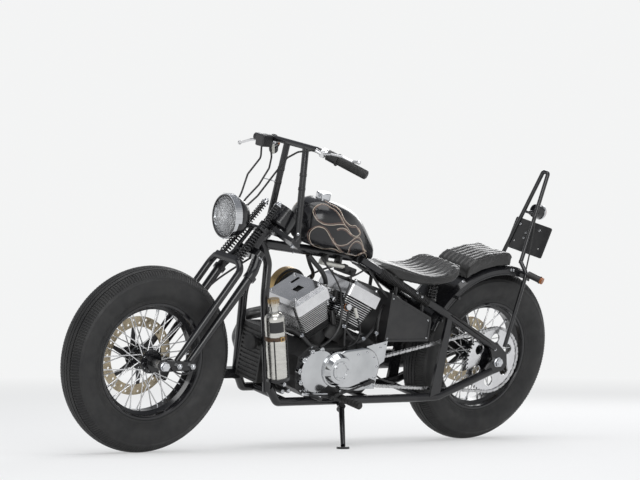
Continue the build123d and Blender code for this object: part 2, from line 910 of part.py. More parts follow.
def brake_control(bar):
    body = switch_box(mirrored) + perch(mirrored)
    body += rod(mirrored(at_grip(-46, 0, 0)), mirrored(at_grip(-38, 0, 0)), bar_radius + 3)
    tank_middle = mirrored(at_grip(-78, 34, 14))
    body += Pos(*tank_middle) * fillet(Box(46, 52, 44).edges(), 5)
    body += rod(tank_middle + Vector(4, -20, 8), tank_middle + Vector(8, -46, 8), 14)
    blade = [at_grip(-48, 36, 0), at_grip(-6, 86, 2), at_grip(40, 110, 2), at_grip(96, 128, -4)]
    return less(body + lever(blade, mirrored), [bar])


bar = handlebar()
parts["handlebar"] = [bar]
parts["grips"] = grips(bar)
parts["clutch_control"] = [clutch_control(bar)]
parts["brake_control"] = [brake_control(bar)]


# Headlamp and gauge
def headlamp(fork_frame):
    axis = Axis((lamp_x, 0, lamp_z), (1, 0, 0))
    plane = Plane(origin=(0, 0, lamp_z), x_dir=(1, 0, 0), z_dir=(0, -1, 0))
    back = lamp_x - lamp_depth
    with BuildSketch() as section:
        with BuildLine():
            Line((lamp_x - 2, lamp_radius), (lamp_x - 14, lamp_radius))
            Line((lamp_x - 14, lamp_radius), (lamp_x - 16, lamp_radius - 4))
            Line((lamp_x - 16, lamp_radius - 4), (lamp_x - lamp_rim, lamp_radius - 4))
            ThreePointArc((lamp_x - lamp_rim, lamp_radius - 4), (back + 18, 56), (back, 0))
            Line((back, 0), (lamp_x - lamp_rim, 0))
            Line((lamp_x - lamp_rim, 0), (lamp_x - lamp_rim + 6, 20))
            Line((lamp_x - lamp_rim + 6, 20), (lamp_x - 10, lamp_radius - 8))
            Line((lamp_x - 10, lamp_radius - 8), (lamp_x - 2, lamp_radius - 8))
            Line((lamp_x - 2, lamp_radius - 8), (lamp_x - 2, lamp_radius))
        make_face()
    shell = revolve(plane * section.sketch, axis)
    arm = rod(at_fork(spring_mid, 60, 0), Vector(back + 30, 0, lamp_z - 30), 9)
    return less(shell + arm, [fork_frame])


def lamp_glass():
    plane = Plane(origin=(lamp_x - 6, 0, lamp_z), x_dir=(0, 1, 0), z_dir=(1, 0, 0))
    return extrude(plane * Circle(lamp_radius - 8.3), amount=lens_thick)


def gauge():
    centre = at_fork(gauge_s, gauge_e, 0)
    can = rod(centre, centre + along * (gauge_depth - 12), gauge_radius - 3)
    can = fillet(can.edges().sort_by(Axis(centre, along))[0], 14)
    can += rod(centre + along * (gauge_depth - 14), centre + along * gauge_depth, gauge_radius)
    foot = at_fork(top_tree_s + top_tree_thick, gauge_e, 0)
    stem_room = rod(at_fork(600, 0, 0), at_fork(top_tree_s + top_tree_thick + 10, 0, 0), stem_radius + 4)
    return keep_main(can + rod(foot, centre + along * 2, 16) - stem_room)


lamp = headlamp(fork_frame)
parts["headlamp"] = [lamp]
parts["headlamp_glass"] = [lamp_glass()]
parts["gauge"] = [gauge()]


# Cables and hoses from the bar controls to the back of the headlamp
cable_routes = [
    [at_grip(-76, 46, -4), (332, 128, 793), (336, 70, 762), (352, 20, 690), (404, 10, 610), (462, 12, 560)],
    [mirrored(at_grip(-92, 44, -4)), (300, -150, 730), (378, -108, 672), (424, -66, 610), (470, -34, 556)],
    [
        mirrored(at_grip(-74, 20, -14)),
        (262, -136, 736),
        (292, -100, 698),
        (352, -66, 640),
        (424, -34, 592),
        (466, -16, 552),
    ],
]


def cables(others):
    return [less(pipe(route, cable_radius, 24), others) for route in cable_routes]


control_pieces = [lamp, fork_frame, bar] + parts["fork_front_legs"] + parts["gauge"]
control_pieces += parts["clutch_control"] + parts["brake_control"]
parts["control_cables"] = cables(control_pieces)

# Tank
tank_sections = [
    # place, width, low, high
    (194, 96, 454, 566),
    (168, 160, 442, 594),
    (126, 206, 430, 607),
    (60, 236, 418, 597),
    (-10, 222, 407, 571),
    (-84, 166, 393, 512),
    (-134, 112, 384, 464),
    (-164, 66, 379, 420),
]


def fuel_tank():
    faces = []
    for place, width, low, high in tank_sections:
        plane = Plane(origin=(place, 0, (low + high) / 2), x_dir=(0, 1, 0), z_dir=(1, 0, 0))
        corner = tank_corner * min(width, high - low)
        faces.append(plane * RectangleRounded(width, high - low, corner))
    tank = loft(faces)
    tunnel = rod(spine_start, spine_end, tank_tunnel)
    tank = tank - tunnel - tunnel.moved(Location((0, 0, -12)))
    reach = across * (seat_joint_y + 40)
    tank -= rod(spine_end - reach, spine_end + reach, tank_tunnel + 2)
    for side in (-1, 1):
        tank -= stay_line(side, stay_radius + 4)
    return keep_main(tank)


def tank_cap(tank):
    cap = rod((cap_x, 0, cap_low), (cap_x, 0, cap_high), cap_radius)
    cap = fillet(cap.edges().sort_by(Axis.Z)[-1], 6)
    return less(cap, [tank])


tank = fuel_tank()
parts["fuel_tank"] = [tank]
parts["fuel_cap"] = [tank_cap(tank)]


# Engine
def cylinder_plane(tilt, height):
    way = Vector(sin(radians(tilt)), 0, cos(radians(tilt)))
    origin = Vector(crank_x, 0, crank_z) + way * height
    return Plane(origin=origin, x_dir=Vector(way.Z, 0, -way.X), z_dir=way)


head_start = fin_start + fin_count * fin_pitch


def barrel(tilt):
    foot = cylinder_plane(tilt, barrel_start)
    body = extrude(foot * Circle(barrel_radius), amount=head_start - barrel_start)
    for number in range(fin_count):
        plane = cylinder_plane(tilt, fin_start + number * fin_pitch)
        grow = 0.80 + 0.20 * number / (fin_count - 1)
        fin = RectangleRounded(2 * fin_half_x * grow, 2 * fin_half_y * grow, fin_corner)
        body += extrude(plane * fin, amount=fin_thick)
    return body


def head(tilt, tops):
    base = cylinder_plane(tilt, head_start)
    shoulder = cylinder_plane(tilt, head_start + head_height - head_bevel)
    crest = cylinder_plane(tilt, head_start + head_height)
    outline = RectangleRounded(2 * head_half_x, 2 * head_half_y, head_corner)
    small = RectangleRounded(2 * (head_half_x - head_bevel), 2 * (head_half_y - head_bevel), head_corner / 2)
    cover = extrude(base * outline, amount=head_height - head_bevel)
    cover += loft([shoulder * outline, crest * small])
    for x, y, width, length in tops:
        pocket = crest.offset(-head_pocket_depth) * Pos(x, y) * Rectangle(width, length)
        cover -= extrude(pocket, amount=head_pocket_depth + 5)
    for x in (-1, 1):
        for y in (-1, 1):
            spot = Pos(x * (head_half_x - 26), y * (head_half_y - 26)) * Circle(6)
            cover += extrude(crest.offset(-1) * spot, amount=5)
    return cover


case_outline = [
    (188, -42),
    (176, -92),
    (120, -126),
    (-190, -126),
    (-236, -80),
    (-236, 53),
    (-170, 90),
    (-70, 98),
    (-40, 63),
    (60, 63),
    (130, 78),
    (186, 30),
]


def crankcase(others):
    case = side_sheet(case_outline, -case_half, case_half)
    chain_room = block((-260, -60), (chain_y - 26, case_half + 1), (-132, 108))
    return less(case - chain_room, others)


def left_cover():
    face_y = case_half + seat_gap
    centre = Vector(front_case_x, 0, -20)
    cover = disc(centre, front_case_radius, face_y, case_half + 24)
    for number in range(7):
        spot = around(front_case_radius, (number - 3) * 0.088, centre)
        cover += disc(spot, bolt_boss_radius, face_y, case_half + 20)
    dome = Vector(dome_x, 0, crank_z)
    cover += disc(dome, dome_radius + 6, face_y, case_half + 30)
    low, high = dome + across * (case_half + 29), dome + across * (case_half + 30 + dome_height)
    cover += taper(low, high, dome_radius, dome_radius - 12)
    cover += disc(dome, dome_radius - 26, case_half + 50, case_half + 56)
    cover -= disc(dome, dome_radius - 36, case_half + 54, case_half + 60)
    drum_ends = [(drum_x, -14, drum_radius), (-30, -14, drum_radius - 8)]
    drum = side_hull(drum_ends, face_y, case_half + drum_depth)
    cover += fillet(drum.edges().sort_by(Axis.Y)[-1], 12)
    plate = [(-120, -96), (-198, -96), (-206, -2), (-226, 10), (-228, 90), (-130, 70)]
    return cover + side_sheet(plate, face_y, case_half + 12)


def right_cover():
    outline = [(150, -42), (120, -96), (-120, -98), (-190, -52), (-180, 38), (-90, 68), (60, 58), (140, 18)]
    cover = side_sheet(outline, -case_half - 34, -case_half - seat_gap)
    clutch = disc(Vector(-70, 0, -20), 78, -case_half - 48, -case_half - 30)
    return cover + fillet(clutch.edges().sort_by(Axis.Y)[0], 8)


barrels = [barrel(front_tilt), barrel(-rear_tilt)]
barrels[1] = less(barrels[1], [barrels[0]])
heads = [head(front_tilt, [(0, 18, 34, 34), (-34, -40, 40, 14)]), head(-rear_tilt, [(0, -20, 34, 30)])]
case = crankcase(barrels)
parts["cylinder_front"] = [barrels[0]]
parts["cylinder_rear"] = [barrels[1]]
parts["head_front"] = [heads[0]]
parts["head_rear"] = [heads[1]]
parts["crankcase"] = [case]
parts["left_engine_cover"] = [left_cover()]
parts["right_engine_cover"] = [right_cover()]


def air_cleaner(others):
    centre = Vector(cleaner_x, 0, cleaner_z)
    body = disc(centre, cleaner_radius, -206, -166)
    body = fillet(body.edges().sort_by(Axis.Y)[0], 10)
    body += disc(centre, cleaner_radius - 10, -167, -158)
    body += rod((cleaner_x, -159, cleaner_z), (cleaner_x, -112, cleaner_z), 24)
    body += rod((cleaner_x, -120, cleaner_z), (30, -20, 230), 26)
    return less(body, others)


def hanger(start, end, others):
    return less(rod(start, end, hanger_radius), others)


def exhausts(others):
    rear_end = rear_axle_x + 40
    front = [(178, -60, 172), (266, -122, 132), (268, -160, 38), (196, pipe_y, -58), (-300, pipe_y, -74)]
    first = pipe(front, pipe_radius, (26, 60, 90))
    first += rod((-300, pipe_y, -74), (rear_end, pipe_y, -64), muffler_radius)
    first += rod((-110, pipe_y, -71), (-110, -rail_y, rail_z), hanger_radius)
    first += rod((-440, pipe_y, -76), (brace_x + 10, -axle_plate_y, -84), hanger_radius)
    back_y = pipe_y + 2
    rear = [(-110, -60, 168), (-170, -150, 150), (-215, back_y, 58), (-290, back_y, 12), (-380, back_y, 10)]
    second = pipe(rear, pipe_radius, (30, 50, 50))
    second += rod((-380, back_y, 10), (rear_end + 60, back_y, 20), short_muffler_radius)
    first = less(first, others)
    second += rod((-600, back_y, -34), (-600, back_y, 0), 9)
    return first, less(second, others + [first])


parts["air_cleaner"] = [air_cleaner(barrels + heads)]
exhaust_front, exhaust_rear = exhausts(barrels + heads + rails + parts["frame_braces"] + [case])
parts["exhaust_front"] = [exhaust_front]
parts["exhaust_rear"] = [exhaust_rear]


def radiator():
    core = block((250, 326), (-64, 64), (-80, 128))
    for number in range(12):
        low = -70 + 16 * number
        core -= block((322, 330), (-56, 56), (low, low + 8))
    horn = rod((320, 30, 70), (352, 34, 70), 14) + rod((350, 34, 70), (366, 36, 70), 28)
    return less(core + horn, tubes)


def battery_box(others):
    rear = fender_front_x - 8
    outline = [(-222, 82), (-222, 270), (rear + 6, 176), (rear, 158), (rear, 82)]
    face = make_face(Polyline(*outline, close=True))
    box = extrude(side_plane(112) * face, amount=224)
    panel = offset(face, -9)
    for y in (114, -110):
        box -= extrude(side_plane(y) * panel, amount=4)
    for x, y, low in ((-270, 74, 240), (-400, 92, 190)):
        for side in (-1, 1):
            high = seat_joint_z - stay_slope * (seat_joint_x - x)
            box += rod((x, side * y, low), (x, side * (y + 2), high), 7)
    return less(box, others)


parts["radiator"] = [radiator()]
parts["battery_box"] = [battery_box(stays)]


# Fender, seats and bars
def fender(others):
    outer = fender_radius + fender_sheet
    edge = fender_radius - 8
    half = [
        (fender_half - 22, outer),
        (fender_half, edge),
        (fender_half, edge - fender_lip),
        (fender_half - fender_sheet, edge - fender_lip),
        (fender_half - fender_sheet, edge - 1),
        (fender_half - 23, fender_radius),
    ]
    first = radians(fender_from)
    way = Vector(cos(first), 0, sin(first))
    section = Plane(origin=rear_axle, x_dir=(0, 1, 0), z_dir=way.cross(across) * -1)
    profile = make_face(Polyline(*half, *[(-y, r) for y, r in reversed(half)], close=True))
    for side in (-1, 1):
        profile += Pos(side * (fender_half - 2), edge - fender_lip - 2) * Circle(fender_bead)
    sheet = revolve(section * profile, Axis(rear_axle, (0, -1, 0)), revolution_arc=fender_to - fender_from)
    for share in (fender_from + 8, fender_from + 26):
        for side in (-1, 1):
            spot = around(edge - fender_lip / 2, share / 360, rear_axle)
            sheet += rod(spot + across * (side * (fender_half - 2)), spot + across * (side * stay_bend_y), 6)
    return less(sheet, others)


parts["rear_fender"] = [fender(stays)]


def solo_seat():
    upper = [(-180, 368), (-260, 364), (-350, 343), (-430, 338), (-500, 356), (-560, 380), (-578, 374)]
    lower = [(-560, 344), (-470, 310), (-350, 303), (-250, 322), (-184, 340)]
    plan = [(-180, 40), (-230, 70), (-330, 116), (-430, 140), (-520, 132), (-566, 90), (-580, 30)]
    with BuildSketch() as profile:
        with BuildLine():
            Spline(*upper)
            Line(upper[-1], lower[0])
            Spline(*lower)
            Line(lower[-1], upper[0])
        make_face()
    with BuildSketch() as outline:
        with BuildLine():
            Spline(*plan)
            Spline(*[(x, -y) for x, y in plan])
            Line(plan[0], (plan[0][0], -plan[0][1]))
            Line(plan[-1], (plan[-1][0], -plan[-1][1]))
        make_face()
    pad = extrude(side_plane(160) * profile.sketch, amount=320) & extrude(outline.sketch, amount=500)
    return less(pad, [stay_line(side, stay_radius + soft_gap) for side in (-1, 1)])


spring_x = -440.0
spring_y = 96.0


def seat_posts(seat, others):
    pieces = []
    stay_z = seat_joint_z - stay_slope * (seat_joint_x - spring_x)
    for side in (-1, 1):
        foot = Vector(spring_x, side * spring_y, stay_z)
        low, high = foot + Vector(0, 0, 18), foot + Vector(0, 0, 90)
        post = rod(foot, low + Vector(0, 0, 4), 8) + rod(low, low + Vector(0, 0, 4), 17)
        post += rod(low, high, 4)
        pieces.append(less(post, others + [seat]))
        top = Vector(spring_x, side * spring_y, 302)
        pieces.append(coil(low + Vector(0, 0, 4.3), top, 16, 2.6, 5))
    hinge = side_sheet([(-104, 378), (-118, 352), (-196, 322), (-206, 332), (-120, 380)], -24, 24)
    hinge -= block((-210, -122), (-16, 16), (300, 400))
    pieces.append(less(hinge, others + [seat]))
    return pieces


pad_profile = [
    # back from the rear axle, up from the fender
    (196, -40),
    (194, -2),
    (160, 26),
    (80, 48),
    (-12, 56),
    (-26, 42),
    (-22, 10),
    (-22, -68),
    (196, -108),
]


def pillion_pad():
    foot = fender_radius + fender_sheet + soft_gap
    side = side_sheet([(rear_axle_x + x, fender_radius + z) for x, z in pad_profile], -pad_half, pad_half)
    tops = side.edges().filter_by(GeomType.LINE).filter_by(Axis.Y).sort_by(Axis.Z)[-4:]
    pad = fillet(tops, 8)
    return keep_main(pad - disc(rear_axle, foot, -pad_half - 1, pad_half + 1))


sissy_foot = Vector(rear_axle_x - 22, 134, 60)
sissy_knee = Vector(rear_axle_x - 86, 118, 348)
loop_foot = Vector(rear_axle_x - 105, 56, 374)
loop_top = Vector(rear_axle_x - 210, 14, 724)


def loop_spot(z, side):
    share = (z - loop_foot.Z) / (loop_top.Z - loop_foot.Z)
    spot = loop_foot + (loop_top - loop_foot) * share
    return spot if side > 0 else mirrored(spot)


def sissy_bar(others):
    hoop = pipe([loop_foot, loop_top, mirrored(loop_top), mirrored(loop_foot)], sissy_radius, (9, 9))
    for place in (Vector, mirrored):
        strut = [place(loop_foot + Vector(0, 0, 6)), place(sissy_knee), place(sissy_foot)]
        hoop += pipe(strut, sissy_radius, 26)
        hoop += rod(place(loop_foot), place(loop_foot + Vector(0, 0, 12)), sissy_radius)
    hoop += rod(mirrored(sissy_knee), sissy_knee, 6)
    return less(hoop, others)


plate_centre = Vector(rear_axle_x - 178, 0, 464)
plate_way = Vector(-cos(radians(16)), 0, -sin(radians(16)))
lamp_way = Vector(-cos(radians(10)), 0, -sin(radians(10)))


def plate_holder(sissy):
    plane = Plane(origin=plate_centre, x_dir=(0, 1, 0), z_dir=plate_way)
    outline = RectangleRounded(plate_width, plate_height, 8)
    for side in (-1, 1):
        outline -= Pos(side * plate_hole_spacing / 2, plate_hole_rise) * Circle(plate_hole_radius)
    plate = extrude(plane * outline, amount=plate_thick)
    for side in (-1, 1):
        spot = loop_spot(plate_centre.Z + 10, side)
        plate += rod(spot, Vector(plate_centre.X + 2, spot.Y, plate_centre.Z - 4), 5)
    return less(plate, [sissy])


def tail_lamp(sissy):
    start = Vector(rear_axle_x - 185, 0, 570)
    body = rod(start, start + lamp_way * tail_lamp_depth, tail_lamp_radius)
    body = fillet(body.edges().sort_by(Axis.X)[0], 5) + rod(start + lamp_way * 30, start + lamp_way * 36, 29)
    body += rod(loop_spot(562, 1), loop_spot(562, -1), 5)
    body += rod(Vector(loop_spot(562, 1).X, 0, 562), start + lamp_way * 8, 8)
    return less(body, [sissy])


seat = solo_seat()
parts["solo_seat"] = [seat]
parts["seat_posts"] = seat_posts(seat, stays + [neck])
parts["pillion_pad"] = [pillion_pad()]
sissy = sissy_bar(parts["rear_fender"] + parts["frame_axle_plates"] + [axle_bar])
parts["sissy_bar"] = [sissy]
parts["plate_holder"] = [plate_holder(sissy)]
parts["tail_lamp"] = [tail_lamp(sissy)]


def rear_signals():
    lamps = []
    for place in (Vector, mirrored):
        start, end = sissy_knee + Vector(0, 9, 0), sissy_knee + Vector(-29, 66, -14)
        way = (end - start).normalized()
        lamp = rod(place(start), place(end), 13) + rod(place(end - way * 14), place(end - way * 10), 15)
        lamps.append(less(lamp, [sissy]))
    return lamps


parts["rear_signals"] = rear_signals()

# Left side bottle in its cage
bottle_foot = Vector(300, 150, -40)
bottle_way = (Vector(357, 124, 248) - bottle_foot).normalized()
bottle_plane = Plane(origin=bottle_foot, x_dir=bottle_way.cross(across), z_dir=bottle_way)


def bottle():
    with BuildSketch() as section:
        with BuildLine():
            Line((0, 0), (32, 0))
            ThreePointArc((32, 0), (36, 2), (38, 6))
            Line((38, 6), (38, 226))
            ThreePointArc((38, 226), (34, 240), (20, 252))
            Line((20, 252), (16, 258))
            Line((16, 258), (16, 276))
            Line((16, 276), (21, 276))
            Line((21, 276), (21, 304))
            Line((21, 304), (0, 304))
            Line((0, 304), (0, 0))
        make_face()
    upright = Plane(origin=bottle_foot, x_dir=bottle_plane.x_dir, z_dir=bottle_plane.x_dir.cross(bottle_way))
    return revolve(upright * section.sketch, Axis(bottle_foot, bottle_way))


def bottle_cage(tube):
    def ring(low, high, outer, inner):
        band = rod(bottle_foot + bottle_way * low, bottle_foot + bottle_way * high, outer)
        return band - rod(bottle_foot + bottle_way * (low - 1), bottle_foot + bottle_way * (high + 1), inner)

    cage = ring(150, 164, 41, 38.3) + ring(1, 7, 43, 38.3)
    cage += rod(bottle_foot - bottle_way * 4, bottle_foot - bottle_way * 0.3, 43)
    cage += ring(-3, 5, 43, 38.3)
    for number in range(4):
        angle = radians(45 + 90 * number)
        out = bottle_plane.x_dir * cos(angle) + bottle_plane.y_dir * sin(angle)
        cage += rod(bottle_foot + out * 41 + bottle_way * 2, bottle_foot + out * 41 + bottle_way * 156, 2.5)
    middle = bottle_foot + bottle_way * 157
    cage += rod(middle + Vector(4, -38, 0), middle + Vector(6, -66, 0), 7)
    return less(cage, [tube, rod(bottle_foot, bottle_foot + bottle_way * 300, 38.2)])


parts["bottle"] = [bottle()]
parts["bottle_cage"] = [bottle_cage(tubes[1])]


# Foot controls
def foot_peg(rail, side):
    low, high = sorted((side * hanger_y, side * (hanger_y + hanger_thick)))
    outline = [(peg_x + x, rail_z + 6) for x in (-20, 20)]
    outline += [(peg_x + x, peg_z + 14) for x in (13, -13)]
    inner, outer = side * (hanger_y + hanger_thick - 1), side * peg_end_y
    peg = side_sheet(outline, low, high)
    peg += rod((peg_x, inner, peg_z), (peg_x, outer, peg_z), 9)
    for number in range(6):
        start = inner + side * (24 + 18 * number)
        peg += rod((peg_x, start, peg_z), (peg_x, start + side * 14, peg_z), peg_radius)
    peg += rod((peg_x, inner + side * 24, peg_z), (peg_x, outer, peg_z), peg_radius - 2)
    return less(peg, [rail])


def left_control(rail):
    lever_y = hanger_y + hanger_thick + 12
    shift = rod((peg_x, lever_y, peg_z), (pedal_x, lever_y, pedal_z), 6)
    shift += rod((pedal_x, lever_y - 7, pedal_z), (pedal_x, lever_y + 52, pedal_z), 8)
    link_y = case_half + drum_depth + 9
    arm_x = peg_x + 0.4 * (pedal_x - peg_x)
    arm_z = peg_z + 0.4 * (pedal_z - peg_z)
    shift_way = Vector(shift_shaft_x - arm_x, 0, shift_shaft_z - arm_z)
    start = Vector(arm_x, link_y, arm_z)
    link = rod(start, start + shift_way, 4)
    for low, high in ((0.08, 0.24), (0.78, 0.94)):
        link += rod(start + shift_way * low, start + shift_way * high, 6.4)
    link += rod((arm_x, lever_y - 7, arm_z), (arm_x, link_y + 5, arm_z), 7.2)
    shaft_face = Vector(shift_shaft_x, case_half + drum_depth + seat_gap, shift_shaft_z)
    link += rod(shaft_face, start + shift_way + across * 5, 7)
    return less(foot_peg(rail, 1) + shift + link, [rail])


def right_control(rail):
    lever_y = -hanger_y - hanger_thick - 12
    pedal = rod((peg_x, lever_y, peg_z), (pedal_x, lever_y, pedal_z), 6)
    pedal += rod((pedal_x, lever_y + 7.5, pedal_z), (pedal_x, lever_y - 52, pedal_z), 9)
    return less(foot_peg(rail, -1) + pedal, [rail])


parts["left_foot_control"] = [left_control(rails[1])]
parts["right_foot_control"] = [right_control(rails[0])]


# Parked stance
lean_height = -tyre_radius + tyre_half_width


def lean(shape):
    return shape.rotate(Axis((0, 0, lean_height), (1, 0, 0)), -parked_lean)


def steer(shape):
    return shape.rotate(Axis(steer_foot, along), parked_steer)


front_low = lean(steer(parts["front_tyre"][0])).bounding_box().min.Z
rear_low = lean(parts["rear_tyre"][0]).bounding_box().min.Z
parked_pitch = degrees(atan2(rear_low - front_low, wheelbase))


def pose(shape, steered):
    if steered:
        shape = steer(shape)
    return lean(shape).rotate(Axis((rear_axle_x, 0, -tyre_radius), (0, 1, 0)), -parked_pitch)


# Side stand
ground_tilt = radians(parked_lean)
foot_sink = tyre_half_width + (stand_foot_x - rear_axle_x) * tan(radians(parked_pitch))
foot_ground = lean_height + (stand_foot_y * sin(ground_tilt) - foot_sink) / cos(ground_tilt)
stand_pivot = Vector(stand_pivot_x, stand_pivot_y, stand_pivot_z)
stand_foot = Vector(stand_foot_x, stand_foot_y, foot_ground)
stand_down = (stand_foot - stand_pivot).normalized()
stand_back = Vector(-0.96, 0.24, 0.08).normalized()
stand_axis = stand_down.cross(stand_back).normalized()
stand_swing = stand_down.get_angle(stand_back)


def stand_spot(level):
    return stand_pivot + stand_axis * level


def side_stand():
    eye = rod(stand_spot(-stand_eye_half), stand_spot(stand_eye_half), stand_eye_radius)
    ground_up = Vector(0, -sin(ground_tilt), cos(ground_tilt))
    sole = rod(stand_foot, stand_foot + ground_up * 8, sole_radius)
    ankle = stand_foot + ground_up * 12
    leg = taper(ankle, stand_pivot + stand_down * 17, stand_radius - 2, stand_radius)
    leg += rod(stand_pivot, stand_pivot + stand_down * 20, 6.8)
    return eye + leg + sole - rod(stand_spot(-30), stand_spot(30), stand_pin_radius + running_gap)


def stand_bracket(rail):
    rail_spot = Vector(stand_pivot_x - 4, rail_y, rail_z)
    level = (rail_spot - stand_pivot).dot(stand_axis)
    clear = stand_eye_half + 0.4
    pin = rod(stand_spot(-18), stand_spot(12), stand_pin_radius)
    pin += rod(stand_spot(clear), stand_spot(12), 10)
    ear = rod(stand_spot(-clear), stand_spot(-18), stand_eye_radius)
    arm = rod(stand_spot(-13), rail_spot - stand_axis * (13 + level), 5.5)
    return less(pin + ear + arm, [rail])


parts["side_stand"] = [side_stand()]
parts["stand_bracket"] = [stand_bracket(rails[1])]

steered_names = (
    "front_tyre front_wheel front_brake_disc front_axle front_caliper fork_rear_legs fork_front_legs "
    "fork_rockers fork_springs fork_top_tree handlebar grips clutch_control brake_control control_cables "
    "headlamp headlamp_glass gauge"
).split()

placed = {}
for name, solids in parts.items():
    placed[name] = [pose(solid, name in steered_names) for solid in solids]

boxes = [solid.bounding_box() for solids in placed.values() for solid in solids]
shift_x = -(min(box.min.X for box in boxes) + max(box.max.X for box in boxes)) / 2
shift_y = -(min(box.min.Y for box in boxes) + max(box.max.Y for box in boxes)) / 2
shift_z = -min(box.min.Z for box in boxes)

os.makedirs("parts", exist_ok=True)
for name, solids in placed.items():
    moved = [Pos(shift_x, shift_y, shift_z) * solid for solid in solids]
    shape = moved[0] if len(moved) == 1 else Compound(children=moved)
    export_step(shape, f"parts/{name}.step")
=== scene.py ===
import json
import math
import bmesh
import bpy
from mathutils import Matrix, Vector
from mathutils.bvhtree import BVHTree


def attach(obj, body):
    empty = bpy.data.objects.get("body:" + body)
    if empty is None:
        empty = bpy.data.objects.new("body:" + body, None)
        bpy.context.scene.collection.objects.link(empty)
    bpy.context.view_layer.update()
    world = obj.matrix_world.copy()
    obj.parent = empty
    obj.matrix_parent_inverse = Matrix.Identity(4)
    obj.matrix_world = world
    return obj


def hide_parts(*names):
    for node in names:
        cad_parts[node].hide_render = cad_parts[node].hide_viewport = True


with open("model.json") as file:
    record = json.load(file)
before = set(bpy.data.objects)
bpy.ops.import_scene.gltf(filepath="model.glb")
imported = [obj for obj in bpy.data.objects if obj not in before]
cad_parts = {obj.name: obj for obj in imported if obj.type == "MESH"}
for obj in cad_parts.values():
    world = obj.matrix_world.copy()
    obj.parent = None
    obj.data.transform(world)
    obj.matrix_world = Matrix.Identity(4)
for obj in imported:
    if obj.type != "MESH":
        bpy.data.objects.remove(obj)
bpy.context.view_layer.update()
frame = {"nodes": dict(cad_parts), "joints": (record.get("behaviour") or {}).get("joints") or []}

nodes = frame["nodes"]
jointNamed = {joint["name"]: joint for joint in frame["joints"]}
print("frame loaded:", len(nodes), "nodes")


# The bike's own axes: x forward, y to the rider's left, z up from the line of the axles, in
# millimetres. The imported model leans, so every piece is drawn upright here and then placed by
# one of two matrices: bike, or fork for what turns with the fork.
rake = math.radians(38)
frontX, rearX = 800, -800
tyreRadius = 342
leftward = Vector((0, 1, 0))
steerAxis = Vector(jointNamed["steering"]["axis"])
rearHub = Vector(jointNamed["rear_wheel_spin"]["pos_m"])


def axesMatrix(x, y, z):
    return Matrix((x, y, z)).transposed().to_4x4()


def matrixFor(spin, localX):
    side = Vector(jointNamed[spin]["axis"])
    front = side.cross(steerAxis).normalized()
    forward = front * math.cos(rake) - steerAxis * math.sin(rake)
    upward = front * math.sin(rake) + steerAxis * math.cos(rake)
    turn = axesMatrix(forward, side, upward)
    place = Vector(jointNamed[spin]["pos_m"]) - turn @ Vector((localX * 0.001, 0, 0))
    return Matrix.Translation(place) @ turn @ Matrix.Scale(0.001, 4)


bike = matrixFor("rear_wheel_spin", rearX)
fork = matrixFor("front_wheel_spin", frontX)
wheels = (("front", frontX, fork), ("rear", rearX, bike))


# Camera first: it stands where the photograph was taken from, measured from the rear hub
camera = {
    "place": (9.3304, 10.2012, 0.3901),
    "looksAt": (0.7305, -0.0663, 0.4360),
    "roll": 0.127,
    "lens": 200,
    "sensor": 36,
    "clip": (0.1, 100),
}


def linked(name, data):
    thing = bpy.data.objects.new(name, data)
    bpy.context.scene.collection.objects.link(thing)
    return thing


def aimed(place, target):
    turn = (target - place).to_track_quat("-Z", "Y").to_matrix().to_4x4()
    return Matrix.Translation(place) @ turn


def makeCamera(c):
    data = bpy.data.cameras.new("camera")
    data.lens, data.sensor_width = c["lens"], c["sensor"]
    data.clip_start, data.clip_end = c["clip"]
    thing = linked("camera", data)
    aim = aimed(rearHub + Vector(c["place"]), rearHub + Vector(c["looksAt"]))
    thing.matrix_world = aim @ Matrix.Rotation(math.radians(c["roll"]), 4, "Z")
    bpy.context.scene.camera = thing


makeCamera(camera)


# Finishes
def nodeTree(name):
    material = bpy.data.materials.new(name)
    material.use_nodes = True
    tree = material.node_tree
    return material, tree, tree.nodes["Principled BSDF"]


def setInputs(made, **inputs):
    for key, value in inputs.items():
        made.inputs[key.replace("_", " ")].default_value = value


def add(tree, kind, **inputs):
    made = tree.nodes.new(kind)
    setInputs(made, **inputs)
    return made


def coordinates(tree, stretch=(1, 1, 1), turn=(0, 0, 0)):
    source = tree.nodes.new("ShaderNodeTexCoord")
    mapping = add(tree, "ShaderNodeMapping", Scale=stretch, Rotation=turn)
    tree.links.new(source.outputs["Object"], mapping.inputs["Vector"])
    return mapping.outputs["Vector"]


def noise(tree, vector, scale, detail):
    made = add(tree, "ShaderNodeTexNoise", Scale=scale, Detail=detail, Roughness=0.55)
    tree.links.new(vector, made.inputs["Vector"])
    return made.outputs["Fac"]


def between(tree, factor, low, high, start=0.3, end=0.7):
    made = add(tree, "ShaderNodeMapRange", From_Min=start, From_Max=end, To_Min=low, To_Max=high)
    tree.links.new(factor, made.inputs["Value"])
    return made.outputs["Result"]


def ramp(tree, factor, *stops):
    made = tree.nodes.new("ShaderNodeValToRGB")
    for element, (place, colour) in zip(made.color_ramp.elements, stops):
        element.position = place
        element.color = (*colour, 1)
    tree.links.new(factor, made.inputs["Fac"])
    return made.outputs["Color"]


def bump(tree, shader, height, distance):
    made = add(tree, "ShaderNodeBump", Strength=1.0, Distance=distance)
    before = shader.inputs["Normal"].links
    if before:
        tree.links.new(before[0].from_socket, made.inputs["Normal"])
    tree.links.new(height, made.inputs["Height"])
    tree.links.new(made.outputs["Normal"], shader.inputs["Normal"])


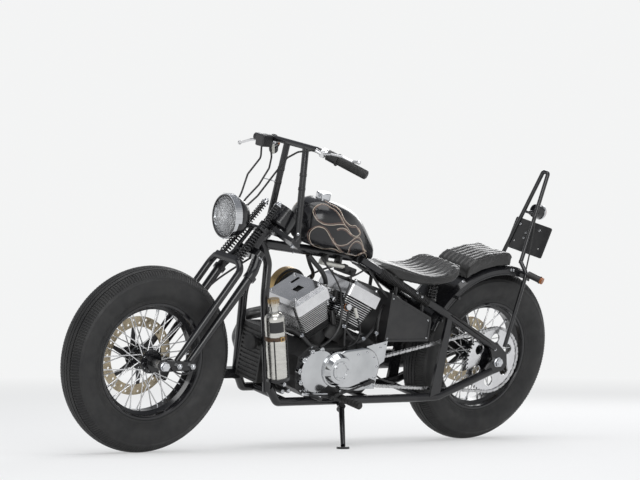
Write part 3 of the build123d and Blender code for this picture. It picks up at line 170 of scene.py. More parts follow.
# Two clouded colours and a clouded roughness, with a fine grain and edges that catch the light
def finish(name, colour, second, rough=(0.2, 0.3), metal=0.0, scale=30, grain=0, depth=0.0001,
           coat=0.0, stretch=(1, 1, 1), sheen=0.0, edge=0.0):
    material, tree, shader = nodeTree(name)
    vector = coordinates(tree, stretch)
    cloud = ramp(tree, noise(tree, vector, scale, 5), (0.35, colour), (0.68, second))
    tree.links.new(cloud, shader.inputs["Base Color"])
    worn = between(tree, noise(tree, vector, scale * 2.3, 4), *rough)
    tree.links.new(worn, shader.inputs["Roughness"])
    setInputs(shader, Metallic=metal, Coat_Weight=coat, Coat_Roughness=0.04, Sheen_Weight=sheen)
    if edge:
        rounded = add(tree, "ShaderNodeBevel", Radius=edge)
        rounded.samples = 4
        tree.links.new(rounded.outputs["Normal"], shader.inputs["Normal"])
    if grain:
        bump(tree, shader, noise(tree, vector, grain, 2), depth)
    return material


blackGloss = finish("black_gloss", (0.006, 0.006, 0.007), (0.011, 0.011, 0.013), (0.14, 0.26),
                    scale=14, grain=260, depth=0.00003, coat=0.2, edge=0.0012)
blackSatin = finish("black_satin", (0.012, 0.012, 0.013), (0.024, 0.023, 0.023), (0.32, 0.48),
                    scale=18, grain=500, depth=0.00008, edge=0.0010)
castBlack = finish("cast_black", (0.012, 0.012, 0.013), (0.028, 0.027, 0.026), (0.40, 0.58),
                   scale=25, grain=900, depth=0.00022, edge=0.0012)
finGround = finish("fin_edges", (0.60, 0.60, 0.60), (0.48, 0.48, 0.48), (0.22, 0.34), 1.0, 40)
chrome = finish("chrome", (0.66, 0.67, 0.69), (0.56, 0.57, 0.59), (0.04, 0.10), 1.0, 9,
                edge=0.0015)
coverChrome = finish("cover_chrome", (0.60, 0.61, 0.62), (0.46, 0.47, 0.48), (0.05, 0.12), 1.0, 6,
                     grain=9, depth=0.0012, edge=0.0024)
polished = finish("polished_aluminium", (0.74, 0.74, 0.75), (0.62, 0.62, 0.63), (0.14, 0.26), 1.0,
                  12, grain=300, depth=0.00002, edge=0.0018)
steel = finish("steel", (0.58, 0.58, 0.59), (0.42, 0.42, 0.42), (0.22, 0.38), 1.0, 40,
               edge=0.0006)
spokeSteel = finish("spoke_steel", (0.74, 0.74, 0.75), (0.60, 0.60, 0.60), (0.20, 0.32), 1.0, 50)
darkSteel = finish("dark_steel", (0.14, 0.14, 0.14), (0.07, 0.07, 0.07), (0.32, 0.48), 0.9, 40)
# The discs' steel is tinted warm as a painted reflection of warm light
discSteelWarmReflection = finish("disc_steel", (0.50, 0.43, 0.31), (0.36, 0.30, 0.21), (0.22, 0.38), 1.0, 22)
bronze = finish("bronze_trim", (0.42, 0.30, 0.14), (0.30, 0.21, 0.10), (0.24, 0.38), 1.0, 18)
brass = finish("brass", (0.62, 0.43, 0.18), (0.46, 0.31, 0.13), (0.22, 0.36), 1.0)
rubber = finish("rubber", (0.012, 0.012, 0.012), (0.026, 0.025, 0.024), (0.52, 0.72), scale=60,
                grain=700)
tyreRubber = finish("tyre_rubber", (0.010, 0.010, 0.0105), (0.021, 0.0205, 0.020), (0.50, 0.66),
                    scale=16, grain=800, depth=0.00012)
leatherFinish = finish("leather", (0.012, 0.0118, 0.0115), (0.024, 0.023, 0.022), (0.30, 0.46),
                       scale=25, grain=650, depth=0.00025, sheen=0.1)
silver = finish("silver", (0.66, 0.65, 0.61), (0.55, 0.54, 0.51), (0.18, 0.30), 1.0, 15,
                stretch=(1, 1, 5))
tan = finish("tan_leather", (0.085, 0.045, 0.022), (0.050, 0.026, 0.013), (0.40, 0.58), scale=40,
             grain=900)
zinc = finish("zinc", (0.60, 0.60, 0.57), (0.46, 0.45, 0.42), (0.34, 0.50), 0.9, grain=400)
# Near-black painted shade for the screws' sockets and the pockets in the heads; the gauge's dial
# face is this black too
recessShadeAndDial = finish("painted_recess_shade_and_dial", (0.004, 0.004, 0.004), (0.008, 0.008, 0.008), (0.5, 0.7))
stripe = finish("pinstripe", (0.62, 0.53, 0.42), (0.50, 0.40, 0.33), (0.25, 0.4), coat=0.6)
paleStripe = finish("pinstripe_pale", (0.30, 0.17, 0.13), (0.24, 0.14, 0.11), (0.25, 0.4),
                    coat=0.6)
redLens = finish("red_lens", (0.30, 0.010, 0.008), (0.20, 0.006, 0.006), (0.08, 0.16), scale=20,
                 coat=0.8)
whitePlastic = finish("white_plastic", (0.70, 0.69, 0.64), (0.58, 0.57, 0.52), (0.35, 0.5))
orangePlastic = finish("orange_cap", (0.42, 0.15, 0.03), (0.26, 0.08, 0.02), (0.3, 0.45),
                       scale=40)
print("finishes ready")

# Nodes of one finish. The others are painted by place, further down
nodeFinish = [
    (blackGloss, "frame_neck frame_down_tubes frame_lower_rails frame_upper_stays "
                 "frame_axle_plates frame_braces frame_cross_bars fork_rockers fork_top_tree "
                 "handlebar fuel_tank rear_fender sissy_bar side_stand fork_springs"),
    (blackSatin, "battery_box stand_bracket plate_holder seat_posts front_caliper rear_caliper"),
    (castBlack, "crankcase radiator"),
    (chrome, "fuel_cap"),
    (coverChrome, "left_engine_cover right_engine_cover"),
    (steel, "drive_chain headlamp_glass"),
    (tyreRubber, "front_tyre rear_tyre"),
    (rubber, "grips control_cables"),
    (leatherFinish, "solo_seat pillion_pad"),
]
for material, names in nodeFinish:
    for name in names.split():
        nodes[name].data.materials.clear()
        nodes[name].data.materials.append(material)


# The rule picks each face's finish from its middle and its normal, in the bike's own axes
def paint(name, materials, rule, place=bike):
    mesh = nodes[name].data
    mesh.materials.clear()
    for material in materials:
        mesh.materials.append(material)
    back = place.inverted()
    turn = place.to_3x3().normalized().transposed()
    chosen = [rule(back @ face.center, turn @ face.normal) for face in mesh.polygons]
    mesh.polygons.foreach_set("material_index", chosen)


def fromAxis(point, x, z):
    return math.hypot(point.x - x, point.z - z)


# Shapes in millimetres, each a small bmesh that piece() joins and places
def marked(bm, mark):
    for face in bm.faces:
        face.material_index = mark
    return bm


def bevelled(bm, edges, width):
    bmesh.ops.bevel(bm, geom=edges, offset=width, segments=2, profile=0.5, affect="EDGES",
                    material=-1)


def rodShape(start, end, radius, tip=None, sides=16, bevel=0, mark=0):
    start, end = Vector(start), Vector(end)
    span = end - start
    bm = bmesh.new()
    turn = span.to_track_quat("Z", "Y").to_matrix().to_4x4()
    bmesh.ops.create_cone(bm, cap_ends=True, segments=sides, radius1=radius,
                          radius2=radius if tip is None else tip, depth=span.length,
                          matrix=Matrix.Translation((start + end) / 2) @ turn)
    if bevel:
        bevelled(bm, [edge for edge in bm.edges if edge.calc_face_angle(0) > 1.2], bevel)
    return marked(bm, mark)


def boxShape(middle, size, bevel=1, turn=None, mark=0):
    bm = bmesh.new()
    stretch = (turn or Matrix.Identity(4)) @ Matrix.Diagonal((*size, 1))
    bmesh.ops.create_cube(bm, size=1, matrix=Matrix.Translation(middle) @ stretch)
    if bevel:
        bevelled(bm, bm.edges[:], bevel)
    return marked(bm, mark)


# Turns a profile of (radius, height) pairs round the line from start along way
def spinShape(profile, start, way, steps=32, mark=0):
    bm = bmesh.new()
    verts = [bm.verts.new((radius, 0, height)) for radius, height in profile]
    edges = [bm.edges.new(pair) for pair in zip(verts, verts[1:])]
    bmesh.ops.spin(bm, geom=verts + edges, cent=(0, 0, 0), axis=(0, 0, 1), dvec=(0, 0, 0),
                   angle=math.tau, steps=steps, use_merge=True, use_duplicate=False)
    bmesh.ops.remove_doubles(bm, verts=bm.verts, dist=0.001)
    bmesh.ops.recalc_face_normals(bm, faces=bm.faces)
    turn = Vector(way).to_track_quat("Z", "Y").to_matrix().to_4x4()
    bmesh.ops.transform(bm, matrix=Matrix.Translation(start) @ turn, verts=bm.verts)
    return marked(bm, mark)


# A flat outline of (x, y) pairs, made thick along its own z
def sheetShape(points, thick, place):
    bm = bmesh.new()
    face = bm.faces.new([bm.verts.new((x, y, 0)) for x, y in points])
    grown = bmesh.ops.extrude_face_region(bm, geom=[face])
    top = [item for item in grown["geom"] if isinstance(item, bmesh.types.BMVert)]
    bmesh.ops.translate(bm, vec=(0, 0, thick), verts=top)
    bmesh.ops.recalc_face_normals(bm, faces=bm.faces)
    bmesh.ops.transform(bm, matrix=place, verts=bm.verts)
    return bm


# A round tube along a smooth line through the run of points
def tubeShape(points, radius, sides=8, steps=6, order=3, mark=0):
    curve = bpy.data.curves.new("line", "CURVE")
    curve.dimensions = "3D"
    curve.bevel_depth = radius
    curve.bevel_resolution = max(0, sides // 2 - 2)
    curve.use_fill_caps = True
    curve.resolution_u = steps
    spline = curve.splines.new("NURBS")
    spline.points.add(len(points) - 1)
    for spot, point in zip(spline.points, points):
        spot.co = (*point, 1)
    spline.order_u = min(order, len(points))
    spline.use_endpoint_u = True
    thing = bpy.data.objects.new("line", curve)
    mesh = bpy.data.meshes.new_from_object(thing)
    bm = bmesh.new()
    bm.from_mesh(mesh)
    bpy.data.objects.remove(thing)
    bpy.data.curves.remove(curve)
    bpy.data.meshes.remove(mesh)
    bmesh.ops.remove_doubles(bm, verts=bm.verts, dist=0.001)
    bmesh.ops.recalc_face_normals(bm, faces=bm.faces)
    return marked(bm, mark)


def tubesFrom(table):
    return [tubeShape(points, radius, sides, 5) for radius, sides, points in table]


# Joins the shapes, puts them in place and lets them ride on a body
def piece(name, shapes, materials, body, place=bike, replaces=(), smooth=40):
    whole = bmesh.new()
    for bm in shapes:
        part = bpy.data.meshes.new("part")
        bm.to_mesh(part)
        bm.free()
        whole.from_mesh(part)
        bpy.data.meshes.remove(part)
    whole.transform(place)
    mesh = bpy.data.meshes.new(name)
    whole.to_mesh(mesh)
    whole.free()
    for material in materials:
        mesh.materials.append(material)
    mesh.shade_smooth()
    mesh.set_sharp_from_angle(angle=math.radians(smooth))
    thing = linked(name, mesh)
    if replaces:
        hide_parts(*replaces)
    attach(thing, body)


# Tyres: five ribs with zig-zag grooves, fluted shoulders, a raised line and a smooth wall
tyre = {
    "section": 68,
    "flutes": 188,
    "fluteDepth": 3.0,
    "fluteBand": (38, 56.5),
    "zigzag": 1.5,
    "grooves": [(5.6, 8.8), (18.6, 21.8), (31.6, 34.8)],
    "grooveDepth": 4.6,
    "line": 62.5,
    "lineHeight": 0.9,
    "wallAngles": (76, 84, 90, 98, 106, 114, 122, 130),
    "bead": [(50.5, 226.4), (50.9, 224.6), (49.4, 222.4), (47.6, 215.6), (40, 214.6),
             (37.8, 213), (37.5, 206.4), (29.5, 206.4)],
    "inside": [(46, 238), (58, 274), (40, 316), (0, 332)],
    "smooth": 32,
}


# Half of the section as (y, radius, kind), from the crown to the bead and back inside
def tyreProfile(t):
    section, middle = t["section"], tyreRadius - t["section"]
    rows = [(0, 0, "rib")]
    for start, end in t["grooves"]:
        rows += [((rows[-1][0] + start) / 2, 0, "rib"), (start, 0, "edge"),
                 (start + 0.8, t["grooveDepth"], "edge"), (end - 0.8, t["grooveDepth"], "edge"),
                 (end, 0, "edge")]
    first, last = t["fluteBand"]
    line, high = t["line"], t["lineHeight"]
    rows += [(first - 1.4, 0, "rib"), (first, 0, "flute"), ((first + last) / 2, 0, "flute"),
             (last, 0, "flute"), (last + 1.2, 0, "rib"), (line - high, 0, "rib"),
             (line, -high, "rib"), (line + high, 0, "rib")]
    points = []
    for y, sunk, kind in rows:
        share = (section - sunk) / section
        points.append((y * share, middle + math.sqrt(section ** 2 - y ** 2) * share, kind))
    for degrees in t["wallAngles"]:
        turn = math.radians(degrees)
        points.append((section * math.sin(turn), middle + section * math.cos(turn), "wall"))
    return points + [(y, radius, "wall") for y, radius in t["bead"] + t["inside"]]


def tyreShape(t, x):
    half = tyreProfile(t)
    steps = t["flutes"] * 4
    bm = bmesh.new()
    kinds = bm.verts.layers.int.new("kind")
    verts = []
    for y, radius, kind in half + [(-y, radius, kind) for y, radius, kind in reversed(half[1:-1])]:
        vert = bm.verts.new((x, y, radius))
        vert[kinds] = {"edge": 1, "flute": 2}.get(kind, 0)
        verts.append(vert)
    edges = [bm.edges.new(pair) for pair in zip(verts, verts[1:] + verts[:1])]
    bmesh.ops.spin(bm, geom=verts + edges, cent=(x, 0, 0), axis=(0, 1, 0), dvec=(0, 0, 0),
                   angle=math.tau, steps=steps, use_merge=True, use_duplicate=False)
    middle = tyreRadius - t["section"]
    for vert in bm.verts:
        if not vert[kinds]:
            continue
        dx, dz = vert.co.x - x, vert.co.z
        reach = math.hypot(dx, dz)
        number = round(math.atan2(dz, dx) / math.tau * steps) % 4
        if vert[kinds] == 1:
            vert.co.y += t["zigzag"] * (0, 1, 0, -1)[number]
        elif number < 2:
            sunk = middle / reach - 1
            inward = Vector((dx * sunk, -vert.co.y, dz * sunk)).normalized()
            vert.co += inward * t["fluteDepth"]
    bmesh.ops.recalc_face_normals(bm, faces=bm.faces)
    return bm


for end, x, place in wheels:
    piece(end + "_tyre_tread", [tyreShape(tyre, x)], [tyreRubber], end + "_wheel", place,
          [end + "_tyre"], tyre["smooth"])
print("tyres ready")


# Places on the fork, along the steering axis and ahead of it
forkFoot = Vector((752.7, 0, -36.9))
forkAlong, forkAhead = Vector((-0.6157, 0, 0.7880)), Vector((0.7880, 0, 0.6157))


def atFork(s, e, y):
    return forkFoot + forkAlong * s + forkAhead * e + Vector((0, y, 0))


# Places on the cylinders: across the bore, along the crankshaft and up the bore
crank = Vector((0, 0, -12))
bankTilt = {"front": 30, "rear": -22}


def bankAxes(tilt):
    turn = math.radians(tilt)
    return (Vector((math.sin(turn), 0, math.cos(turn))),
            Vector((math.cos(turn), 0, -math.sin(turn))))


def inBank(tilt, over, y, h):
    up, across = bankAxes(tilt)
    return crank + across * over + up * h + Vector((0, y, 0)), up


def bankPlace(point, tilt):
    up, across = bankAxes(tilt)
    away = point - crank
    return across.dot(away), away.y, up.dot(away), up


# Places on a grip: outward along it, ahead of it and above it, for the left or mirrored
grip = {"tip": (143, 301, 742), "bend": (252, 150, 804), "length": 124,
        "clutchTo": -41, "brakeTo": -54, "perch": 22}
gripWay = (Vector(grip["tip"]) - Vector(grip["bend"])).normalized()
gripRoot = Vector(grip["tip"]) - gripWay * grip["length"]
gripAhead = Vector((gripWay.y, -gripWay.x, 0)).normalized()
gripUp = gripWay.cross(gripAhead) * -1


def mirrored(vector, side):
    return Vector((vector.x, vector.y * side, vector.z))


def atGrip(out, ahead, up, side=1):
    return mirrored(gripRoot + gripWay * out + gripAhead * ahead + gripUp * up, side)


def gripPlace(p, side=1):
    away = mirrored(p, side) - gripRoot
    return away.dot(gripWay), math.hypot(away.dot(gripAhead), away.dot(gripUp))


# Finishes by place. Each dictionary says where one finish gives way to the next
wheelPaint = {"hub": 46, "spokesTo": 182, "halfWidth": 44, "disc": {"front": 106.5, "rear": 91.5}}
cylinderPaint = {"halfX": 76, "halfY": 84, "waist": 0.80, "growsFrom": 142, "growsOver": 110,
                 "rim": 0.90, "finsFrom": 172}
headPaint = {"floor": (312.5, 321.6), "margin": 1,
             "front": [(0, 18, 34, 34), (-34, -40, 40, 14)], "rear": [(0, -20, 34, 30)]}
bottle = {"foot": (300, 150, -40), "aim": (357, 124, 248), "capFrom": 286,
          "strap": (149, 165), "strapRadius": 42, "label": (182, 222), "labelRadius": 38.1,
          "labelFrom": -64, "labelStep": 8, "labelSteps": 11, "capRibs": 30}
tail = {"start": (-985, 0, 570), "way": (-0.9848, 0, -0.1736), "lens": (26.5, 36.2),
        "rim": (29.5, 36.5), "rimRadius": 20}
signal = {"start": (-886, 127, 348), "end": (-915, 184, 334), "lens": 9.6}
lamp = {"x": 532, "z": 530, "bowl": (498, 72.5), "seat": (529, 76), "rim": (515.5, 71),
        "bandFrom": -8, "bandStep": 5, "bandSteps": 22, "bandRadius": 83.4}
gauge = {"foot": (694, -30, 0), "face": 76, "dial": (74.5, 76.5), "radius": 50}
legPaint = {"cap": 741, "boss": 130.2, "sleeve": 92, "nut": 130}
pedal = {"x": -20, "z": -120, "radius": 15, "outside": 150}
bottleFoot = Vector(bottle["foot"])
bottleWay = (Vector(bottle["aim"]) - bottleFoot).normalized()


def cylinderRule(end):
    c = cylinderPaint

    def rule(p, n):
        across, y, h, up = bankPlace(p, bankTilt[end])
        share = min(1, max(0, (h - c["growsFrom"]) / c["growsOver"]))
        grown = c["waist"] + (1 - c["waist"]) * share
        reach = max(abs(across) / c["halfX"], abs(y) / c["halfY"]) / grown
        return int(reach > c["rim"] and abs(n.dot(up)) < 0.5 and h > c["finsFrom"])
    return rule


# Pockets in the heads' tops take the second finish, near-black painted shade
def headRule(end):
    low, high = headPaint["floor"]

    def rule(p, n):
        across, y, h, up = bankPlace(p, bankTilt[end])
        return int(low < h < high and any(
            max(abs(across - px) - wide / 2, abs(y - py) - long / 2) < headPaint["margin"]
            for px, py, wide, long in headPaint[end]))
    return rule


def tailRule(p, n):
    away, way = p - Vector(tail["start"]), Vector(tail["way"])
    far = away.dot(way)
    off = (away - way * far).length
    if off < tail["lens"][0] and far > tail["lens"][1]:
        return 1
    return 0 if tail["rim"][0] < far < tail["rim"][1] and off > tail["rimRadius"] else 2


def signalRule(p, n):
    start, end = Vector(signal["start"]), Vector(signal["end"])
    return int((mirrored(p, 1 if p.y > 0 else -1) - end).dot((end - start).normalized())
               > -signal["lens"])


def headlampRule(p, n):
    r = math.hypot(p.y, p.z - lamp["z"])
    if p.x > lamp["bowl"][0] and r < lamp["bowl"][1] and n.x > 0.2:
        return 2
    if p.x > lamp["seat"][0] and r < lamp["seat"][1] and n.x > 0.5:
        return 0
    return int(p.x > lamp["rim"][0] and r > lamp["rim"][1])


def gaugeRule(p, n):
    away = p - atFork(*gauge["foot"])
    far = away.dot(forkAlong)
    low, high = gauge["dial"]
    return int(low < far < high and (away - forkAlong * far).length < gauge["radius"])


def clutchRule(p, n):
    out, off = gripPlace(p)
    return int(out < grip["clutchTo"] or off > grip["perch"])


def brakeRule(p, n):
    out, off = gripPlace(p, -1)
    return int(out > grip["brakeTo"] and off > grip["perch"])


def frontLegRule(p, n):
    return int((p - forkFoot).dot(forkAlong) > legPaint["cap"] or abs(p.y) > legPaint["boss"])


def strapRule(p, n):
    away = p - bottleFoot
    low, high = bottle["strap"]
    return int(low < away.dot(bottleWay) < high
               and away.cross(bottleWay).length < bottle["strapRadius"])


def pedalRule(p, n):
    return int(abs(p.y) > pedal["outside"]
               and fromAxis(p, pedal["x"], pedal["z"]) < pedal["radius"])


# Node, matrix, finishes and the rule that picks one of them
paintTable = [
    ("fork_front_legs", fork, [blackGloss, chrome], frontLegRule),
    ("fork_rear_legs", fork, [blackGloss, chrome], lambda p, n: int(abs(p.y) > legPaint["boss"])),
    ("front_axle", fork, [darkSteel, steel, chrome],
     lambda p, n: (abs(p.y) > legPaint["sleeve"]) + (abs(p.y) > legPaint["nut"])),
    ("rear_axle", bike, [steel, chrome], lambda p, n: int(abs(p.y) > legPaint["nut"])),
    ("headlamp", fork, [blackGloss, chrome, polished], headlampRule),
    ("gauge", fork, [blackGloss, recessShadeAndDial], gaugeRule),
    ("clutch_control", fork, [blackSatin, polished], clutchRule),
    ("brake_control", fork, [blackSatin, polished], brakeRule),
    ("bottle", bike, [silver, bronze],
     lambda p, n: int((p - bottleFoot).dot(bottleWay) > bottle["capFrom"])),
    ("bottle_cage", bike, [blackGloss, tan], strapRule),
    ("tail_lamp", bike, [chrome, redLens, blackGloss], tailRule),
    ("rear_signals", bike, [blackSatin, orangePlastic], signalRule),
    ("rear_sprocket", bike, [blackGloss, polished], lambda p, n: int(fromAxis(p, rearX, 0) > 47)),
    ("air_cleaner", bike, [blackSatin, bronze], lambda p, n: int(abs(n.y) < 0.5)),
    ("left_foot_control", bike, [blackSatin, rubber], pedalRule),
    ("right_foot_control", bike, [blackSatin, rubber], pedalRule),
    ("exhaust_front", bike, [blackSatin, darkSteel], lambda p, n: int(p.x > 60 and p.z > -40)),
    ("exhaust_rear", bike, [blackSatin, darkSteel], lambda p, n: int(p.z > 40)),
]
for name, place, materials, rule in paintTable:
    paint(name, materials, rule, place)
for end, x, place in wheels:
    w = wheelPaint
    paint(end + "_wheel", [blackGloss, spokeSteel],
          lambda p, n: int(w["hub"] < fromAxis(p, x, 0) < w["spokesTo"]
                           and abs(p.y) < w["halfWidth"]), place)
    paint(end + "_brake_disc", [blackSatin, discSteelWarmReflection],
          lambda p, n: int(fromAxis(p, x, 0) > w["disc"][end]), place)
    paint("cylinder_" + end, [castBlack, finGround], cylinderRule(end))
    paint("head_" + end, [polished, recessShadeAndDial], headRule(end))
print("finishes placed")


# Wheels: nipples at both ends of every spoke, and a valve
spokes = {"pairs": 20, "hub": 32, "rim": 190, "hubY": 36, "rimY": 6, "step": 3.25,
          "splay": 38 / 360, "valve": -0.6}


def spokeEnds(s, number, side, x):
    def rounds(radius, share, y):
        turn = math.tau * share
        return Vector((x + radius * math.cos(turn), y, radius * math.sin(turn)))
    splay = 1 if number % 2 else -1
    share = (number + 0.25 * side) / s["pairs"]
    return (rounds(s["hub"], share, side * (s["hubY"] + splay * s["step"])),
            rounds(s["rim"], share + splay * s["splay"], side * (s["rimY"] + splay * s["step"])))


def wheelDetails(s, x):
    shapes = []
    for side in (1, -1):
        for number in range(s["pairs"]):
            start, end = spokeEnds(s, number, side, x)
            way = (end - start).normalized()
            shapes += [rodShape(end - way * 15, end - way, 2.7, 3.6, 6),
                       rodShape(start + way * 3, start + way * 8, 4.2, 2.6, 6)]
    hub, way = Vector((x, 0, 0)), Vector((math.cos(s["valve"]), 0, math.sin(s["valve"])))
    return shapes + [rodShape(hub + way * s["rim"], hub + way * 160, 4, 3, 10, 0, 1),
                     rodShape(hub + way * 162, hub + way * 152, 4.2, None, 10, 1)]


for end, x, place in wheels:
    piece(end + "_spoke_nipples", wheelDetails(spokes, x), [chrome, rubber], end + "_wheel", place)

# Chain: links round the two sprockets, each given as x, z and radius
chain = {"pitch": 15.875, "y": 96, "rear": (-800, 0, 126.4), "front": (-110, -45, 40.7),
         "plate": 5.6, "waist": 0.72, "thick": 1.6, "wide": (5.0, 6.9),
         "pin": (2.4, 7.6), "roller": (4.6, 4.2)}


# Where each pin of the loop lies, by walking round the two circles and their tangents
def chainSpots(c):
    (ax, az, ar), (bx, bz, br) = c["rear"], c["front"]
    away, run = math.hypot(bx - ax, bz - az), math.atan2(bz - az, bx - ax)
    lean = math.acos((ar - br) / away)
    route = []
    for x, z, radius, first, sweep, steps in ((ax, az, ar, run + lean, math.tau - 2 * lean, 240),
                                              (bx, bz, br, run - lean, 2 * lean, 120)):
        for n in range(steps + 1):
            turn = first + sweep * n / steps
            route.append(Vector((x + radius * math.cos(turn), c["y"],
                                 z + radius * math.sin(turn))))
    route.append(route[0])
    total = sum((b - a).length for a, b in zip(route, route[1:]))
    count = 2 * round(total / c["pitch"] / 2)
    spots, gone, wanted = [], 0, 0
    for a, b in zip(route, route[1:]):
        length = (b - a).length
        while len(spots) < count and gone + length >= wanted:
            spots.append(a.lerp(b, (wanted - gone) / length))
            wanted += total / count
        gone += length
    return spots


def linkShapes(start, end, wide, c):
    long = (end - start).length
    way = (end - start).normalized()
    outline = []
    for side, first in ((1, -90), (-1, 90)):
        for n in range(5):
            turn = math.radians(first + 45 * n)
            outline.append((side * long / 2 + c["plate"] * math.cos(turn),
                            c["plate"] * math.sin(turn)))
        outline.append((0, side * c["plate"] * c["waist"]))
    shapes = []
    for side in (1, -1):
        middle = (start + end) / 2 + leftward * (side * wide - c["thick"] / 2)
        turn = axesMatrix(way, leftward.cross(way), leftward)
        shapes.append(sheetShape(outline, c["thick"], Matrix.Translation(middle) @ turn))
    for (radius, half), sides in ((c["pin"], 8), (c["roller"], 10)):
        reach = leftward * half
        shapes.append(rodShape(start - reach, start + reach, radius, sides=sides))
    return shapes


spots = chainSpots(chain)
links = []
for number, (start, end) in enumerate(zip(spots, spots[1:] + spots[:1])):
    links += linkShapes(start, end, chain["wide"][number % 2], chain)
piece("drive_chain_links", links, [steel], "chassis", bike, ["drive_chain"])
print("chain ready:", len(spots), "links")


# Pinstripes: each line is a run of x and the angle round the tank's middle, laid on both flanks
tankStripes = {
    "middle": [(194, 510), (168, 518), (126, 518.5), (60, 507.5), (-10, 489), (-84, 452.5),
               (-134, 424), (-164, 399.5)],
    "radius": 1.5,
    "inner": 0.9,
    "apart": 4.6,
    "degree": 1.75,
    "gap": 30,
    "lines": [
        [(70, 12), (98, 10), (123, 6), (144, 6), (158, 9), (171, 17), (178, 31), (179, 44),
         (173, 51), (162, 55), (144, 56), (128, 51), (118, 43), (103, 38), (91, 29), (81, 20),
         (70, 12), (54, 7), (38, 1), (20, -2), (2, -1), (-13, 4), (-15, 10), (-1, 14)],
        [(120, 64), (109, 53), (89, 45), (79, 36), (77, 29), (69, 20), (53, 15), (34, 14),
         (14, 17), (-2, 13), (-14, 9)],
        [(10, -52), (24, -47), (43, -43), (74, -34), (98, -26), (117, -19), (131, -11),
         (143, -4), (158, -1), (171, -2), (181, -10), (184, -24), (179, -39), (162, -54),
         (139, -63), (118, -66), (99, -62), (89, -46), (70, -43), (44, -47), (20, -52)],
        [(105, -18), (102, -24), (89, -28), (70, -29), (54, -26), (40, -21), (28, -14),
         (16, -8), (1, -3), (-16, -1), (-33, -4), (-49, -9), (-65, -16), (-92, -19)],
        [(101, 0), (92, 3), (77, 5), (60, 4), (46, 1), (31, -1)],
        [(-73, -27), (-60, -35), (-62, -50), (-30, -52), (-8, -47), (4, -39), (18, -28),
         (17, -19), (6, -12), (-13, -9), (-32, -9), (-49, -12), (-63, -18), (-85, -21)],
        [(-10, -56), (-35, -55), (-58, -50), (-66, -38), (-73, -27), (-91, -25), (-120, -34),
         (-125, -45)],
    ],
}


def surfaceOf(thing, place=bike):
    back = place.inverted()
    mesh = thing.data
    return BVHTree.FromPolygons([back @ vert.co for vert in mesh.vertices],
                                [face.vertices[:] for face in mesh.polygons])


# More points along a smooth line that passes through the given ones
def smoothRun(points, steps):
    run = []
    held = [points[0], *points, points[-1]]
    for group in zip(held, held[1:], held[2:], held[3:]):
        for n in range(steps):
            t = n / steps
            run.append(tuple(0.5 * (2 * b + (c - a) * t + (2 * a - 5 * b + 4 * c - d) * t * t
                                    + (3 * b - a - 3 * c + d) * t ** 3)
                             for a, b, c, d in zip(*group)))
    return run + [tuple(points[-1])]


def middleAt(run, x):
    if x >= run[0][0]:
        return run[0][1]
    for (ax, az), (bx, bz) in zip(run, run[1:]):
        if ax >= x >= bx:
            return az + (bz - az) * (ax - x) / (ax - bx)
    return run[-1][1]


# The run's points on one flank of the tank, moved sideways by inset and sunk a little
def stripeSpots(s, tank, run, inset, radius, side):
    spots = []
    for n, (x, angle) in enumerate(run):
        before, after = run[max(0, n - 1)], run[min(len(run) - 1, n + 1)]
        wayX, wayA = after[0] - before[0], (after[1] - before[1]) * s["degree"]
        long = max(0.1, math.hypot(wayX, wayA))
        x, angle = x - wayA / long * inset, angle + wayX / long * inset / s["degree"]
        turn = math.radians(angle)
        way = Vector((0, side * math.cos(turn), math.sin(turn)))
        found = tank.ray_cast(Vector((x, 0, middleAt(s["middle"], x))), way)[0]
        if found and (not spots or (found - spots[-1]).length < s["gap"]):
            spots.append(found - way * radius * 0.35)
    return spots


def stripeShapes(s):
    tank = surfaceOf(nodes["fuel_tank"])
    shapes = []
    for line in s["lines"]:
        run = smoothRun(line, 4)
        for mark, inset, radius in ((0, 0, s["radius"]), (1, s["apart"], s["inner"])):
            for side in (1, -1):
                spots = stripeSpots(s, tank, run, inset, radius, side)
                if len(spots) > 3:
                    shapes.append(tubeShape(spots, radius, 6, 1, 2, mark))
    return shapes


piece("tank_pinstripes", stripeShapes(tankStripes), [stripe, paleStripe], "chassis")
print("pinstripes ready")


# Cushions: the CAD pad a little smaller, remeshed, blown up as cloth, then pleated
cushions = {
    "solo_seat": {"shrink": 4.5, "smooth": 14, "cap": 6.0, "pitch": 29, "along": (-566, -345),
                  "fade": 26, "depth": 5.0, "margin": 22},
    "pillion_pad": {"shrink": 2.5, "smooth": 3, "cap": 5.0, "pitch": 24.5, "along": (-800, -598),
                    "fade": 10, "depth": 4.2, "margin": 9},
}
padding = {"voxel": 0.0050, "pressure": 4, "mass": 0.3, "quality": 5, "frames": 20, "pleats": 7,
           "slot": 6, "under": 0.4, "fill": 0.85}


def eased(value, low, high):
    t = min(1, max(0, (value - low) / (high - low)))
    return t * t * (3 - 2 * t)


# The object's mesh with its modifiers applied and removed
def baked(thing):
    made = bpy.data.meshes.new_from_object(
        thing.evaluated_get(bpy.context.evaluated_depsgraph_get()))
    thing.modifiers.clear()
    thing.data = made
    return made


# Blows the skin up as cloth, but moves no point further than the cap, and the underside less
def puffed(thing, c):
    start = [vert.co.copy() for vert in thing.data.vertices]
    cloth = thing.modifiers.new("cloth", "CLOTH")
    cloth.settings.use_pressure = True
    cloth.settings.uniform_pressure_force = padding["pressure"]
    cloth.settings.effector_weights.gravity = 0
    cloth.settings.quality = padding["quality"]
    cloth.settings.mass = padding["mass"]
    cloth.point_cache.frame_start, cloth.point_cache.frame_end = 1, padding["frames"]
    for number in range(1, padding["frames"] + 1):
        bpy.context.scene.frame_set(number)
    mesh = baked(thing)
    bpy.context.scene.frame_set(1)
    cap = c["cap"] * 0.001
    for vert, place in zip(mesh.vertices, start):
        move = vert.co - place
        if move.length > cap:
            move *= cap / move.length
        below = move.z < 0 and abs(move.z) > abs(move.x) + abs(move.y)
        vert.co = place + move * (padding["under"] if below else 1)


